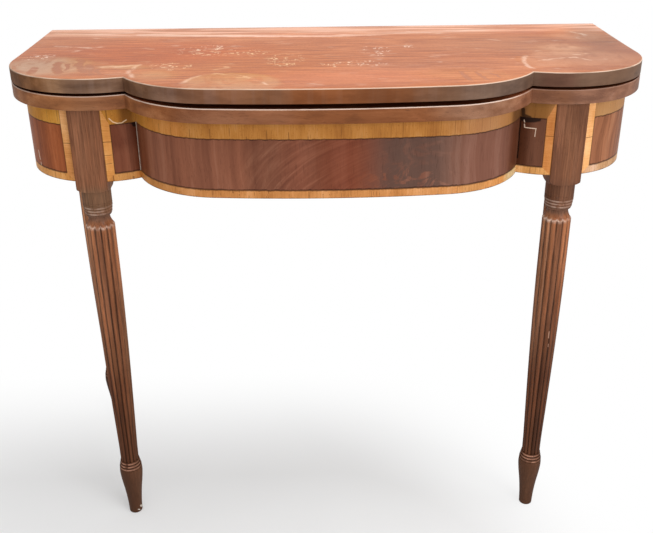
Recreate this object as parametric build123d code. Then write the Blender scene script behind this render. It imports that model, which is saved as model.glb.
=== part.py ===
from build123d import *
import math
import os

# Card table with a fold-over leaf and a swinging rear leg.
# Millimetres, +Z up, front towards -Y, +X to the right of a person facing the front.
# Places in plan are measured from the rear edge of the boards. The finished pieces are
# moved once, at the end, so that the origin is the centre of the floor area.

# Boards of the top, and their outline in plan
TOP_WIDTH = 914
TOP_DEPTH = 430
BOARD_THICKNESS = 20
LEAF_HEIGHT = 756  # floor to the upper face of the leaf at its hinges
LOBE_RADIUS = 129.7  # rounded front corners
BOW_PROJECTION = 75.6  # of the bowed middle in front of the rounded corners
BOW_RADIUS = 1537
BOW_END_RADIUS = 151  # tighter ends of the bow, which run back into the cusps
CUSP_DIRECTION = -113.34  # degrees, from the middle of a rounded corner to the cusp beside it

# The old leaf has cupped: flat beside its hinges, then lifting towards the front
WARP_RISE = 6
WARP_FLAT_DEPTH = 100

# Clearances
RUNNING_GAP = 0.3  # between pieces that move past each other
PIN_CLEARANCE = 0.05  # radial, between a hinge pin and the eye that turns on it
CUT_OVERRUN = 40  # how far cutting bodies run past what they cut

# Apron: cores with veneer on their faces
APRON_INSET = 16.4  # from the edge of the boards to the veneered face
APRON_HEIGHT = 107.7
VENEER = 1
CORE_THICKNESS = 22
UPPER_BAND_WIDTH = 25.3
LOWER_BAND_WIDTH = 11.5
STRIP_WIDTH = 12  # upright band beside each front leg

# Legs
DIE_WIDTH = 45  # square head of each leg
DIE_BELOW_APRON = 16
DIE_SHOULDER_HEIGHT = 8
FRONT_LEG_OFFSET = 9.7  # outwards from the middle of the rounded corner
FRONT_DIE_PROUD = 0.5  # in front of the rounded corner's foremost point
REAR_LEG_FROM_REAR = 8.3  # rear face of the fixed rear leg's die
DRUM_RADIUS = 21
DRUM_HEIGHT = 23.5
RING_COUNT = 3
RING_HEIGHT = 4.6
RING_BULGE = 0.7
RING_STEP = 0.6
OVOLO_HEIGHT = 4  # rounded underside of the last ring
NECK_RADIUS = 15.2
COVE_HEIGHT = 16  # hollow that flares from the neck out to the tops of the reeds
REED_COUNT = 14
REED_TOP_RADIUS = 21
REED_DEPTH = 1.9  # from the crown of a reed to the groove
REED_STATIONS = ((430, 21), (320, 19.5), (220, 17.1), (130, 14.6))  # level, radius
REED_FOOT_RADIUS = 14.5
FOOT_RING_LEVEL = 109
FOOT_RING_COUNT = 3
FOOT_RING_HEIGHT = 5.2
FOOT_RING_BULGE = 0.7
FOOT_RING_RADIUS = 15
FOOT_RING_STEP = 1.1
FOOT_SHOULDER_RADIUS = 18.1
FOOT_STATIONS = ((84, 18.5), (66, 16.7), (50, 14.4), (33, 12.5), (16, 11.2))  # level, radius
TOE_RADIUS = 10.6
TOE_CHAMFER = 1.2

# Tenons that join rails to legs
TENON_THICKNESS = 8
TENON_LENGTH = 16
TENON_SHOULDER = 14  # above and below the tenon

# Rear rails, the wooden knuckle and its pin
SWING_PIVOT_X = -20
KNUCKLE_FINGERS = 5
KNUCKLE_SHOULDER_GAP = 0.6
KNUCKLE_PIN_RADIUS = 2.5
HOUSING_DEPTH = 6  # ends of the inner rear rail, let into the side rails

# Brace across the frame
BRACE_THICKNESS = 22
BRACE_HEIGHT = 76
BRACE_TENON_LENGTH = 10

# Screwed blocks that hold the top
BLOCK_LENGTH = 40
BLOCK_SIZE = 25
SIDE_BLOCK_SHARE = 0.268  # length of a block on a side rail, as a share of that rail's clear length
SIDE_BLOCK_REAR_SHARE = 0.1  # clear length left behind the two blocks
SIDE_BLOCK_FRONT_SHARE = 0.03  # and in front of them
REAR_BLOCK_OFFSET = 250  # from the middle of the table
FRONT_BLOCK_OFFSET = 110
TOP_SCREW_LENGTH = 35
TOP_SCREW_RADIUS = 2.2
TOP_SCREW_HEAD_RADIUS = 4.4
TOP_SCREW_HEAD_HEIGHT = 2.8

# Brass hinges let into the side edges of the boards
HINGE_THICKNESS = 3
HINGE_LENGTH = 70
HINGE_WIDTH = 12
EYE_RADIUS = 5
EYE_LAYER_GAP = 0.2  # between the two half-thick eyes
POCKET_CLEARANCE = 0.4
AXIS_BEHIND_EDGE = 0.2
HINGE_PIN_RADIUS = 1.5
HINGE_SCREW_COUNT = 3
HINGE_SCREW_PITCH = 20
HINGE_SCREW_LENGTH = 16
HINGE_SCREW_RADIUS = 1.5
HINGE_SCREW_HEAD_RADIUS = 3
HINGE_SCREW_HEAD_HEIGHT = 1.6

# Levels above the floor
LEAF_UNDER = LEAF_HEIGHT - BOARD_THICKNESS
TOP_UPPER = LEAF_UNDER - RUNNING_GAP
TOP_UNDER = TOP_UPPER - BOARD_THICKNESS
APRON_BOTTOM = TOP_UNDER - APRON_HEIGHT
UPPER_BAND_BOTTOM = TOP_UNDER - UPPER_BAND_WIDTH
LOWER_BAND_TOP = APRON_BOTTOM + LOWER_BAND_WIDTH
HINGE_LEVEL = (LEAF_UNDER + TOP_UPPER) / 2
DIE_BOTTOM = APRON_BOTTOM - DIE_BELOW_APRON
RING_TOP = DIE_BOTTOM - DRUM_HEIGHT
NECK_TOP = RING_TOP - RING_COUNT * RING_HEIGHT
COVE_TOP = NECK_TOP - OVOLO_HEIGHT
REED_TOP = COVE_TOP - COVE_HEIGHT
FOOT_TOP = FOOT_RING_LEVEL - FOOT_RING_COUNT * FOOT_RING_HEIGHT

# Places in plan
HALF_WIDTH = TOP_WIDTH / 2
HALF_DIE = DIE_WIDTH / 2
LOBE_FRONT_Y = BOW_PROJECTION - TOP_DEPTH
LOBE_CENTRE = (HALF_WIDTH - LOBE_RADIUS, LOBE_FRONT_Y + LOBE_RADIUS)
BOW_CENTRE = (0, BOW_RADIUS - TOP_DEPTH)
CORE_INSET = APRON_INSET + VENEER
CORE_BACK = CORE_INSET + CORE_THICKNESS
SIDE_CORE_INNER_X = HALF_WIDTH - CORE_BACK
REAR_LEG_X = HALF_WIDTH - APRON_INSET - HALF_DIE
REAR_LEG_Y = -REAR_LEG_FROM_REAR - HALF_DIE
REAR_SEAM_Y = REAR_LEG_Y - HALF_DIE  # between the inner rear rail and what lies behind it
FRONT_LEG_X = LOBE_CENTRE[0] + FRONT_LEG_OFFSET
FRONT_LEG_Y = LOBE_FRONT_Y + APRON_INSET - FRONT_DIE_PROUD + HALF_DIE
KNUCKLE_RADIUS = (CORE_THICKNESS - RUNNING_GAP) / 2
SWING_PIVOT_Y = REAR_SEAM_Y + RUNNING_GAP + KNUCKLE_RADIUS
REAR_RAIL_BACK_Y = SWING_PIVOT_Y + KNUCKLE_RADIUS

# From the rear edge of the boards to the origin, half way from the front to the hinge eyes
REAR_EDGE_Y = (TOP_DEPTH - AXIS_BEHIND_EDGE - EYE_RADIUS) / 2

os.makedirs("parts", exist_ok=True)
nodes = {}


def polar(centre, radius, angle):
    """Point at an angle in radians on a circle in plan."""
    return (centre[0] + radius * math.cos(angle), centre[1] + radius * math.sin(angle))


def angle_of(centre, point):
    return math.atan2(point[1] - centre[1], point[0] - centre[0])


# The bow's end touches the bow and runs through the cusp
cusp = polar(LOBE_CENTRE, LOBE_RADIUS, math.radians(CUSP_DIRECTION))
cusp_distance = math.dist(BOW_CENTRE, cusp)
end_distance = BOW_RADIUS - BOW_END_RADIUS
squares = end_distance**2 + cusp_distance**2 - BOW_END_RADIUS**2
end_turn = math.acos(squares / (2 * end_distance * cusp_distance))
BOW_END_ANGLE = angle_of(BOW_CENTRE, cusp) - end_turn
BOW_END_CENTRE = polar(BOW_CENTRE, end_distance, BOW_END_ANGLE)


def cusp_point(inset):
    """Where the bow's end meets the rounded corner on the right, drawn in by inset."""
    lobe_radius = LOBE_RADIUS - inset
    end_radius = BOW_END_RADIUS - inset
    spacing = math.dist(LOBE_CENTRE, BOW_END_CENTRE)
    along = (lobe_radius**2 - end_radius**2 + spacing**2) / (2 * spacing)
    turn = math.acos(along / lobe_radius)
    return polar(LOBE_CENTRE, lobe_radius, angle_of(LOBE_CENTRE, BOW_END_CENTRE) + turn)


def plan_face(inset):
    """Area of the table in plan, with its front and sides drawn in by inset."""
    cusp = cusp_point(inset)
    lobe_radius = LOBE_RADIUS - inset
    end_radius = BOW_END_RADIUS - inset
    bow_radius = BOW_RADIUS - inset
    side_rear = (HALF_WIDTH - inset, 0)
    side_front = (HALF_WIDTH - inset, LOBE_CENTRE[1])
    bow_end = polar(BOW_CENTRE, bow_radius, BOW_END_ANGLE)
    lobe_middle = polar(LOBE_CENTRE, lobe_radius, (angle_of(LOBE_CENTRE, cusp)) / 2)
    end_middle_angle = (angle_of(BOW_END_CENTRE, cusp) + BOW_END_ANGLE) / 2
    end_middle = polar(BOW_END_CENTRE, end_radius, end_middle_angle)
    right = [
        Line(side_rear, side_front),
        ThreePointArc(side_front, lobe_middle, cusp),
        ThreePointArc(cusp, end_middle, bow_end),
    ]
    left = [mirror(edge, about=Plane.YZ) for edge in right]
    bow = ThreePointArc(bow_end, (0, inset - TOP_DEPTH), (-bow_end[0], bow_end[1]))
    rear = Line((-side_rear[0], side_rear[1]), side_rear)
    return make_face(right + [bow] + left + [rear])


def area(x_low, x_high, y_low, y_high):
    """Rectangle in plan."""
    centre = Pos((x_low + x_high) / 2, (y_low + y_high) / 2)
    return centre * Rectangle(x_high - x_low, y_high - y_low)


def upright(face, z_low, z_high):
    """Solid that stands on a face in plan."""
    return Pos(0, 0, z_low) * extrude(face, amount=z_high - z_low)


def block(x_low, x_high, y_low, y_high, z_low, z_high):
    return upright(area(x_low, x_high, y_low, y_high), z_low, z_high)


def rod(radius, length, start, direction):
    """Round bar from a point along a direction."""
    return Plane(origin=start, z_dir=direction) * Cylinder(
        radius, length, align=(Align.CENTER, Align.CENTER, Align.MIN)
    )


def wood_screw(head_radius, head_height, radius, length, start, direction):
    """Countersunk screw: start is the centre of its head."""
    place = Plane(origin=start, z_dir=direction)
    low = (Align.CENTER, Align.CENTER, Align.MIN)
    head = place * Cone(head_radius, radius, head_height, align=low)
    return head + rod(radius, length, start, direction)


def both_sides(name, solid):
    """Keep a right-hand piece and its mirror image on the left."""
    nodes[name + "_right"] = solid
    nodes[name + "_left"] = mirror(solid, about=Plane.YZ)


def with_mirrored(solids):
    """Like pieces of one group, on the right and on the left."""
    return solids + [mirror(solid, about=Plane.YZ) for solid in solids]


def lathe(edges):
    """Turned piece from the edges of its half section, in the XZ plane."""
    return revolve(make_face(edges), axis=Axis.Z)


def leg(top_level):
    """One leg at the origin in plan: square die, drum, rings, neck, reeds and foot."""
    die = block(-HALF_DIE, HALF_DIE, -HALF_DIE, HALF_DIE, DIE_BOTTOM, top_level)
    corner_radius = DIE_WIDTH
    shoulder_top = DIE_BOTTOM + DIE_SHOULDER_HEIGHT
    die_corner = math.hypot(HALF_DIE, HALF_DIE)
    shoulder_middle = (
        DRUM_RADIUS + (die_corner - DRUM_RADIUS) * math.sin(math.pi / 4),
        0,
        shoulder_top - DIE_SHOULDER_HEIGHT * math.cos(math.pi / 4),
    )
    shoulder = lathe(
        [
            Line((0, 0, DIE_BOTTOM), (DRUM_RADIUS, 0, DIE_BOTTOM)),
            ThreePointArc((DRUM_RADIUS, 0, DIE_BOTTOM), shoulder_middle, (die_corner, 0, shoulder_top)),
            Line((die_corner, 0, shoulder_top), (corner_radius, 0, shoulder_top)),
            Line((corner_radius, 0, shoulder_top), (corner_radius, 0, top_level)),
            Line((corner_radius, 0, top_level), (0, 0, top_level)),
            Line((0, 0, top_level), (0, 0, DIE_BOTTOM)),
        ]
    )
    return (die & shoulder) + leg_drum() + leg_reeds() + leg_foot()


def beads(radius, top, count, height, bulge, step):
    """Edges of stacked half-round rings, each wider than the last by step, and where they end."""
    edges = []
    for index in range(count):
        upper = top - index * height
        start = (radius + index * step, 0, upper)
        middle = (start[0] + bulge, 0, upper - height / 2)
        end = (start[0], 0, upper - height)
        edges.append(ThreePointArc(start, middle, end))
        if index < count - 1:
            edges.append(Line(end, (start[0] + step, 0, upper - height)))
    return edges, end


def leg_drum():
    """Plain drum under the die, its rings and the rounded underside that runs to the neck."""
    ring_radius = DRUM_RADIUS - RING_BULGE
    rings, ring_end = beads(ring_radius, RING_TOP, RING_COUNT, RING_HEIGHT, RING_BULGE, -RING_STEP)
    share = math.cos(math.pi / 4)
    ovolo_middle = (
        NECK_RADIUS + (ring_end[0] - NECK_RADIUS) * share,
        0,
        NECK_TOP - OVOLO_HEIGHT * share,
    )
    edges = [
        Line((0, 0, COVE_TOP), (0, 0, DIE_BOTTOM)),
        Line((0, 0, DIE_BOTTOM), (DRUM_RADIUS, 0, DIE_BOTTOM)),
        Line((DRUM_RADIUS, 0, DIE_BOTTOM), (DRUM_RADIUS, 0, RING_TOP)),
        Line((DRUM_RADIUS, 0, RING_TOP), (ring_radius, 0, RING_TOP)),
    ]
    edges += rings
    edges += [
        ThreePointArc(ring_end, ovolo_middle, (NECK_RADIUS, 0, COVE_TOP)),
        Line((NECK_RADIUS, 0, COVE_TOP), (0, 0, COVE_TOP)),
    ]
    return lathe(edges)


def reed_section(radius, level):
    """Section of the reeded shaft: round reeds side by side, one of them facing the front."""
    groove = radius - REED_DEPTH
    half_pitch = math.pi / REED_COUNT
    edges = []
    for index in range(REED_COUNT):
        middle = (2 * index + 1) * half_pitch
        start = polar((0, 0), groove, middle - half_pitch)
        crown = polar((0, 0), radius, middle)
        end = polar((0, 0), groove, middle + half_pitch)
        edges.append(ThreePointArc(start, crown, end))
    return Pos(0, 0, level) * make_face(edges)


def leg_reeds():
    """Tapered shaft with reeds, whose tops end in scallops where the cove cuts them off."""
    sections = [reed_section(REED_TOP_RADIUS, REED_TOP)]
    sections += [reed_section(radius, level) for level, radius in REED_STATIONS]
    sections.append(reed_section(REED_FOOT_RADIUS, FOOT_RING_LEVEL))
    shaft = loft(sections[:2], ruled=True)
    for upper, lower in zip(sections[1:], sections[2:]):
        shaft += loft([upper, lower], ruled=True)
    flare = REED_TOP_RADIUS - NECK_RADIUS
    cove_radius = (COVE_HEIGHT**2 + flare**2) / (2 * flare)
    half_turn = math.asin(COVE_HEIGHT / cove_radius) / 2
    cove_middle = (
        NECK_RADIUS + cove_radius * (1 - math.cos(half_turn)),
        0,
        COVE_TOP - cove_radius * math.sin(half_turn),
    )
    cove = lathe(
        [
            Line((0, 0, REED_TOP), (REED_TOP_RADIUS, 0, REED_TOP)),
            ThreePointArc((REED_TOP_RADIUS, 0, REED_TOP), cove_middle, (NECK_RADIUS, 0, COVE_TOP)),
            Line((NECK_RADIUS, 0, COVE_TOP), (0, 0, COVE_TOP)),
            Line((0, 0, COVE_TOP), (0, 0, REED_TOP)),
        ]
    )
    return shaft + (cove & upright(reed_section(REED_TOP_RADIUS, 0), REED_TOP, COVE_TOP))


def leg_foot():
    """Vase-shaped foot under three fine rings that step outwards."""
    rings, ring_end = beads(
        FOOT_RING_RADIUS,
        FOOT_RING_LEVEL,
        FOOT_RING_COUNT,
        FOOT_RING_HEIGHT,
        FOOT_RING_BULGE,
        FOOT_RING_STEP,
    )
    ring_start = (FOOT_RING_RADIUS, 0, FOOT_RING_LEVEL)
    shoulder = (FOOT_SHOULDER_RADIUS, 0, FOOT_TOP)
    toe = (TOE_RADIUS, 0, TOE_CHAMFER)
    sole = (TOE_RADIUS - TOE_CHAMFER, 0, 0)
    edges = [
        Line((0, 0, 0), (0, 0, FOOT_RING_LEVEL)),
        Line((0, 0, FOOT_RING_LEVEL), ring_start),
    ]
    edges += rings
    edges += [
        Line(ring_end, shoulder),
        Spline(shoulder, *[(radius, 0, level) for level, radius in FOOT_STATIONS], toe),
        Line(toe, sole),
        Line(sole, (0, 0, 0)),
    ]
    return lathe(edges)


def tenon(face_x, face_y, direction_x, direction_y, z_low, z_high):
    """Tongue that runs from a leg's face into the leg, and back into the rail that carries it."""
    half = TENON_THICKNESS / 2
    reach_x = TENON_LENGTH * direction_x
    reach_y = TENON_LENGTH * direction_y
    x_low = min(face_x, face_x + reach_x) - half * abs(direction_y)
    x_high = max(face_x, face_x + reach_x) + half * abs(direction_y)
    y_low = min(face_y, face_y + reach_y) - half * abs(direction_x)
    y_high = max(face_y, face_y + reach_y) + half * abs(direction_x)
    return block(x_low, x_high, y_low, y_high, z_low + TENON_SHOULDER, z_high - TENON_SHOULDER)


def apron_layer(outer_inset, inner_inset, region, z_low, z_high):
    """Stretch of the apron between two insets, kept inside a region of the plan."""
    ring = plan_face(outer_inset) - plan_face(inner_inset)
    return upright(ring & region, z_low, z_high)


def cusp_cut():
    """Points of the line through the right-hand cusp that parts the veneers, back and front."""
    outer = cusp_point(APRON_INSET)
    inner = cusp_point(CORE_INSET)
    outward = angle_of(inner, outer)
    return polar(inner, -LOBE_RADIUS, outward), polar(outer, LOBE_RADIUS, outward)


# The boards
board_area = plan_face(0)
fixed_top = upright(board_area, TOP_UNDER, TOP_UPPER)

warp_run = TOP_DEPTH - WARP_FLAT_DEPTH
warp_radius = (warp_run**2 + WARP_RISE**2) / (2 * WARP_RISE)


def warped_face(level):
    """Edges of one face of the leaf in side view, from the hinges to past the front."""
    centre = (-WARP_FLAT_DEPTH, level + warp_radius)
    end_turn = math.asin((warp_run + CUT_OVERRUN) / warp_radius)
    flat_end = (-WARP_FLAT_DEPTH, level)
    middle = polar(centre, warp_radius, -math.pi / 2 - end_turn / 2)
    end = polar(centre, warp_radius, -math.pi / 2 - end_turn)
    flat = Line((0, 0, level), (0, *flat_end))
    curve = ThreePointArc((0, *flat_end), (0, *middle), (0, *end))
    return [flat, curve], (0, *end)


def rear_swing_reach():
    """Distance from the hinge axis to the far face of the swung leg."""
    arm = REAR_LEG_X + SWING_PIVOT_X
    return SWING_PIVOT_Y + arm + HALF_DIE - AXIS_BEHIND_EDGE


def open_limit_degrees(reach):
    """Opening angle at which the cupped leaf just clears the swung leg."""
    sag = warp_radius - math.sqrt(warp_radius**2 - (reach - WARP_FLAT_DEPTH) ** 2)
    return 180 - math.degrees(math.asin(sag / reach))


under_edges, under_end = warped_face(LEAF_UNDER)
upper_edges, upper_end = warped_face(LEAF_HEIGHT)
end_edges = [Line((0, 0, LEAF_UNDER), (0, 0, LEAF_HEIGHT)), Line(under_end, upper_end)]
leaf_side = make_face(under_edges + upper_edges + end_edges)
leaf_slab = extrude(leaf_side, amount=TOP_WIDTH, dir=(1, 0, 0), both=True)
leaf = leaf_slab & upright(board_area, TOP_UNDER, LEAF_HEIGHT + CUT_OVERRUN)

# Hinges, on the right-hand side edges first
eye_layer = (HINGE_THICKNESS - EYE_LAYER_GAP) / 2
hinge_inner_x = HALF_WIDTH - HINGE_THICKNESS
hinge_axis_start = (hinge_inner_x, AXIS_BEHIND_EDGE, HINGE_LEVEL)
outer_layer_start = (HALF_WIDTH - eye_layer, AXIS_BEHIND_EDGE, HINGE_LEVEL)
across = (1, 0, 0)
pocket_radius = EYE_RADIUS + POCKET_CLEARANCE
inner_half_start = (hinge_inner_x - POCKET_CLEARANCE, AXIS_BEHIND_EDGE, HINGE_LEVEL)
inner_half = rod(
    EYE_RADIUS + RUNNING_GAP, eye_layer + EYE_LAYER_GAP + POCKET_CLEARANCE, inner_half_start, across
)
outer_half_start = (hinge_inner_x + eye_layer, AXIS_BEHIND_EDGE, HINGE_LEVEL)
outer_half = rod(EYE_RADIUS + RUNNING_GAP, HINGE_THICKNESS, outer_half_start, across)
eye_pocket = rod(pocket_radius, HINGE_THICKNESS + CUT_OVERRUN, inner_half_start, across)


def hinge_screws(level):
    """Screws of one hinge plate, in line along its middle."""
    screws = []
    for index in range(HINGE_SCREW_COUNT):
        y = (index + 1 / 2) * HINGE_SCREW_PITCH - HINGE_LENGTH
        screws.append(
            wood_screw(
                HINGE_SCREW_HEAD_RADIUS,
                HINGE_SCREW_HEAD_HEIGHT,
                HINGE_SCREW_RADIUS,
                HINGE_SCREW_LENGTH,
                (HALF_WIDTH, y, level),
                (-1, 0, 0),
            )
        )
    return screws


def hinge_bar(z_low, z_high):
    return block(hinge_inner_x, HALF_WIDTH, -HINGE_LENGTH, 0, z_low, z_high)


pin_hole = rod(HINGE_PIN_RADIUS, HINGE_THICKNESS, hinge_axis_start, across)
loose_hole = rod(HINGE_PIN_RADIUS + PIN_CLEARANCE, HINGE_THICKNESS, hinge_axis_start, across)

lower_bar = hinge_bar(TOP_UPPER - HINGE_WIDTH, TOP_UPPER)
lower_eye = rod(EYE_RADIUS, eye_layer, hinge_axis_start, across)
lower_screws = hinge_screws(TOP_UPPER - HINGE_WIDTH / 2)
lower_hinge = (lower_bar - outer_half) + lower_eye - pin_hole

upper_bar = hinge_bar(LEAF_UNDER, LEAF_UNDER + HINGE_WIDTH)
upper_eye = rod(EYE_RADIUS, eye_layer, outer_layer_start, across)
upper_screws = hinge_screws(LEAF_UNDER + HINGE_WIDTH / 2)
upper_hinge = (upper_bar - inner_half) + upper_eye - loose_hole

for screw in lower_screws:
    lower_hinge -= screw
for screw in upper_screws:
    upper_hinge -= screw
for tool in [lower_bar, eye_pocket] + lower_screws:
    fixed_top -= tool
    fixed_top -= mirror(tool, about=Plane.YZ)
for tool in [upper_bar, eye_pocket] + upper_screws:
    leaf -= tool
    leaf -= mirror(tool, about=Plane.YZ)

both_sides("hinge_lower_plate", lower_hinge)
both_sides("hinge_upper_plate", upper_hinge)
both_sides("hinge_pin", pin_hole)
nodes["hinge_screws_fixed_top"] = with_mirrored(lower_screws)
nodes["hinge_screws_leaf"] = with_mirrored(upper_screws)

# Apron cores
die_left_x = FRONT_LEG_X - HALF_DIE
die_right_x = FRONT_LEG_X + HALF_DIE
core = (CORE_INSET, CORE_BACK)
height = (APRON_BOTTOM, TOP_UNDER)
front_region = area(-die_left_x, die_left_x, -TOP_DEPTH, LOBE_CENTRE[1])
corner_region = area(die_right_x, HALF_WIDTH, -TOP_DEPTH, LOBE_CENTRE[1])
side_region = area(0, HALF_WIDTH, LOBE_CENTRE[1], REAR_SEAM_Y)
front_rail = apron_layer(*core, front_region, *height)
corner_block = apron_layer(*core, corner_region, *height)
side_rail = apron_layer(*core, side_region, *height)

# Tenons at the front legs, in the middle of each core's end
lobe_core_radius = LOBE_RADIUS - (CORE_INSET + CORE_BACK) / 2
inner_tenon_y = LOBE_CENTRE[1] - math.sqrt(lobe_core_radius**2 - (LOBE_CENTRE[0] - die_left_x) ** 2)
outer_tenon_y = LOBE_CENTRE[1] - math.sqrt(lobe_core_radius**2 - (die_right_x - LOBE_CENTRE[0]) ** 2)
inner_tenon = tenon(die_left_x, inner_tenon_y, 1, 0, *height)
outer_tenon = tenon(die_right_x, outer_tenon_y, -1, 0, *height)
front_rail = front_rail + inner_tenon + mirror(inner_tenon, about=Plane.YZ)
corner_block = corner_block + outer_tenon

# Tongue between the corner block and the side rail
side_core_x = HALF_WIDTH - (CORE_INSET + CORE_BACK) / 2
corner_tongue = tenon(side_core_x, LOBE_CENTRE[1], 0, 1, *height)
corner_block = corner_block + corner_tongue
side_rail = side_rail - corner_tongue

# Rear rails
inner_rear_y = REAR_SEAM_Y - CORE_THICKNESS
inner_end_x = SIDE_CORE_INNER_X + HOUSING_DEPTH
inner_rear_rail = block(-inner_end_x, inner_end_x, inner_rear_y, REAR_SEAM_Y, *height)
side_rail = side_rail - inner_rear_rail

swing_top = TOP_UNDER - RUNNING_GAP
knuckle_shoulder = CORE_THICKNESS / 2 + KNUCKLE_SHOULDER_GAP
rear_die_inner_x = REAR_LEG_X - HALF_DIE
fixed_rail = block(
    SWING_PIVOT_X + knuckle_shoulder, rear_die_inner_x, REAR_SEAM_Y, REAR_RAIL_BACK_Y, *height
)
swing_rail = block(
    -rear_die_inner_x,
    SWING_PIVOT_X - knuckle_shoulder,
    REAR_SEAM_Y + RUNNING_GAP,
    REAR_RAIL_BACK_Y,
    APRON_BOTTOM,
    swing_top,
)
pivot_bottom = (SWING_PIVOT_X, SWING_PIVOT_Y, APRON_BOTTOM)
finger_pitch = (swing_top - APRON_BOTTOM) / KNUCKLE_FINGERS


def finger(index, toward_x):
    """One finger of the knuckle: a round end on the pivot and a neck back to its rail."""
    z_low = APRON_BOTTOM + index * finger_pitch + RUNNING_GAP / 2
    z_high = APRON_BOTTOM + (index + 1) * finger_pitch - RUNNING_GAP / 2
    if index == 0:
        z_low = APRON_BOTTOM
    if index == KNUCKLE_FINGERS - 1:
        z_high = swing_top
    neck_x = sorted([SWING_PIVOT_X, toward_x])
    neck = block(
        *neck_x, SWING_PIVOT_Y - KNUCKLE_RADIUS, SWING_PIVOT_Y + KNUCKLE_RADIUS, z_low, z_high
    )
    return neck + rod(KNUCKLE_RADIUS, z_high - z_low, (SWING_PIVOT_X, SWING_PIVOT_Y, z_low), (0, 0, 1))


for index in range(KNUCKLE_FINGERS):
    if index % 2 == 0:
        fixed_rail += finger(index, SWING_PIVOT_X + knuckle_shoulder)
    else:
        swing_rail += finger(index, SWING_PIVOT_X - knuckle_shoulder)
pin_length = swing_top - APRON_BOTTOM
knuckle_pin = rod(KNUCKLE_PIN_RADIUS, pin_length, pivot_bottom, (0, 0, 1))
fixed_rail -= knuckle_pin
swing_rail -= rod(KNUCKLE_PIN_RADIUS + PIN_CLEARANCE, pin_length, pivot_bottom, (0, 0, 1))

# Tenons at the rear legs
fixed_tenon = tenon(rear_die_inner_x, SWING_PIVOT_Y, 1, 0, *height)
swing_tenon = mirror(fixed_tenon, about=Plane.YZ)
side_tenon = tenon(side_core_x, REAR_SEAM_Y, 0, 1, *height)
fixed_rail += fixed_tenon
swing_rail += swing_tenon
side_rail_right = side_rail + side_tenon
side_rail_left = mirror(side_rail, about=Plane.YZ)

# Brace from the front rail to the inner rear rail
brace_half = BRACE_THICKNESS / 2
brace_low = TOP_UNDER - BRACE_HEIGHT
brace_front_y = CORE_BACK - TOP_DEPTH
brace_tenon_half = TENON_THICKNESS / 2
brace_tenon = block(
    -brace_tenon_half,
    brace_tenon_half,
    brace_front_y - BRACE_TENON_LENGTH,
    inner_rear_y + BRACE_TENON_LENGTH,
    brace_low + TENON_SHOULDER,
    TOP_UNDER - TENON_SHOULDER,
)
front_rail -= brace_tenon
inner_rear_rail -= brace_tenon
brace = block(-brace_half, brace_half, brace_front_y, inner_rear_y, brace_low, TOP_UNDER)
brace = (brace + brace_tenon) - front_rail

# Blocks and screws under the fixed top
block_low = TOP_UNDER - BLOCK_SIZE
side_block_x = SIDE_CORE_INNER_X - BLOCK_SIZE / 2
clear_length = inner_rear_y - LOBE_CENTRE[1]
side_block_length = SIDE_BLOCK_SHARE * clear_length
rear_side_block_y = inner_rear_y - SIDE_BLOCK_REAR_SHARE * clear_length - side_block_length / 2
front_side_block_y = LOBE_CENTRE[1] + SIDE_BLOCK_FRONT_SHARE * clear_length + side_block_length / 2
rear_block_y = inner_rear_y - BLOCK_SIZE / 2
front_block_back = CORE_BACK + BOW_CENTRE[1] - math.sqrt(BOW_RADIUS**2 - FRONT_BLOCK_OFFSET**2)
front_block_y = front_block_back + BLOCK_SIZE / 2
top_screws = []


def screwed_block(x, y, size_x, size_y):
    """Block under the top with its upright screw."""
    screw = wood_screw(
        TOP_SCREW_HEAD_RADIUS,
        TOP_SCREW_HEAD_HEIGHT,
        TOP_SCREW_RADIUS,
        TOP_SCREW_LENGTH,
        (x, y, block_low),
        (0, 0, 1),
    )
    top_screws.append(screw)
    body = block(x - size_x / 2, x + size_x / 2, y - size_y / 2, y + size_y / 2, block_low, TOP_UNDER)
    return body - screw


side_blocks = []
for y in (rear_side_block_y, front_side_block_y):
    for side in (1, -1):
        side_blocks.append(screwed_block(side * side_block_x, y, BLOCK_SIZE, side_block_length))
rear_blocks = []
front_blocks = []
front_block_size = BLOCK_SIZE + CORE_THICKNESS
for side in (1, -1):
    x = side * REAR_BLOCK_OFFSET
    rear_blocks.append(screwed_block(x, rear_block_y, BLOCK_LENGTH, BLOCK_SIZE))
    x = side * FRONT_BLOCK_OFFSET
    front_blocks.append(screwed_block(x, front_block_y, BLOCK_LENGTH, front_block_size) - front_rail)
for screw in top_screws:
    fixed_top -= screw

# Legs
front_leg = Pos(FRONT_LEG_X, FRONT_LEG_Y) * leg(TOP_UNDER) - inner_tenon - outer_tenon
rear_leg = Pos(REAR_LEG_X, REAR_LEG_Y) * leg(TOP_UNDER) - fixed_tenon - side_tenon
swing_leg = Pos(-REAR_LEG_X, REAR_LEG_Y + RUNNING_GAP) * leg(swing_top) - swing_tenon

# Veneers: bands, panels and upright strips
cut_back, cut_front = cusp_cut()
centre_corners = [cut_back, cut_front, (-cut_front[0], cut_front[1]), (-cut_back[0], cut_back[1])]
centre_region = make_face(Polyline(*centre_corners, close=True))
strip_inner_x = die_left_x - STRIP_WIDTH
strip_outer_x = die_right_x + STRIP_WIDTH


def inner_region(x_high):
    """From the cusp to a line short of the front leg."""
    corners = [cut_back, cut_front, (x_high, cut_front[1]), (x_high, cut_back[1])]
    return make_face(Polyline(*corners, close=True))


def outer_region(x_low):
    """From a line outside the front leg, round the corner and along the side."""
    return area(x_low, HALF_WIDTH, -TOP_DEPTH, REAR_SEAM_Y)


def mitre(x_leg, x_panel, z_tip, z_wide):
    """Wedge that a band keeps where its end is mitred against an upright strip."""
    corners = [(x_leg, 0, z_tip), (x_panel, 0, z_tip), (x_panel, 0, z_wide)]
    return extrude(make_face(Polyline(*corners, close=True)), amount=TOP_DEPTH, dir=(0, -1, 0))


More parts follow.
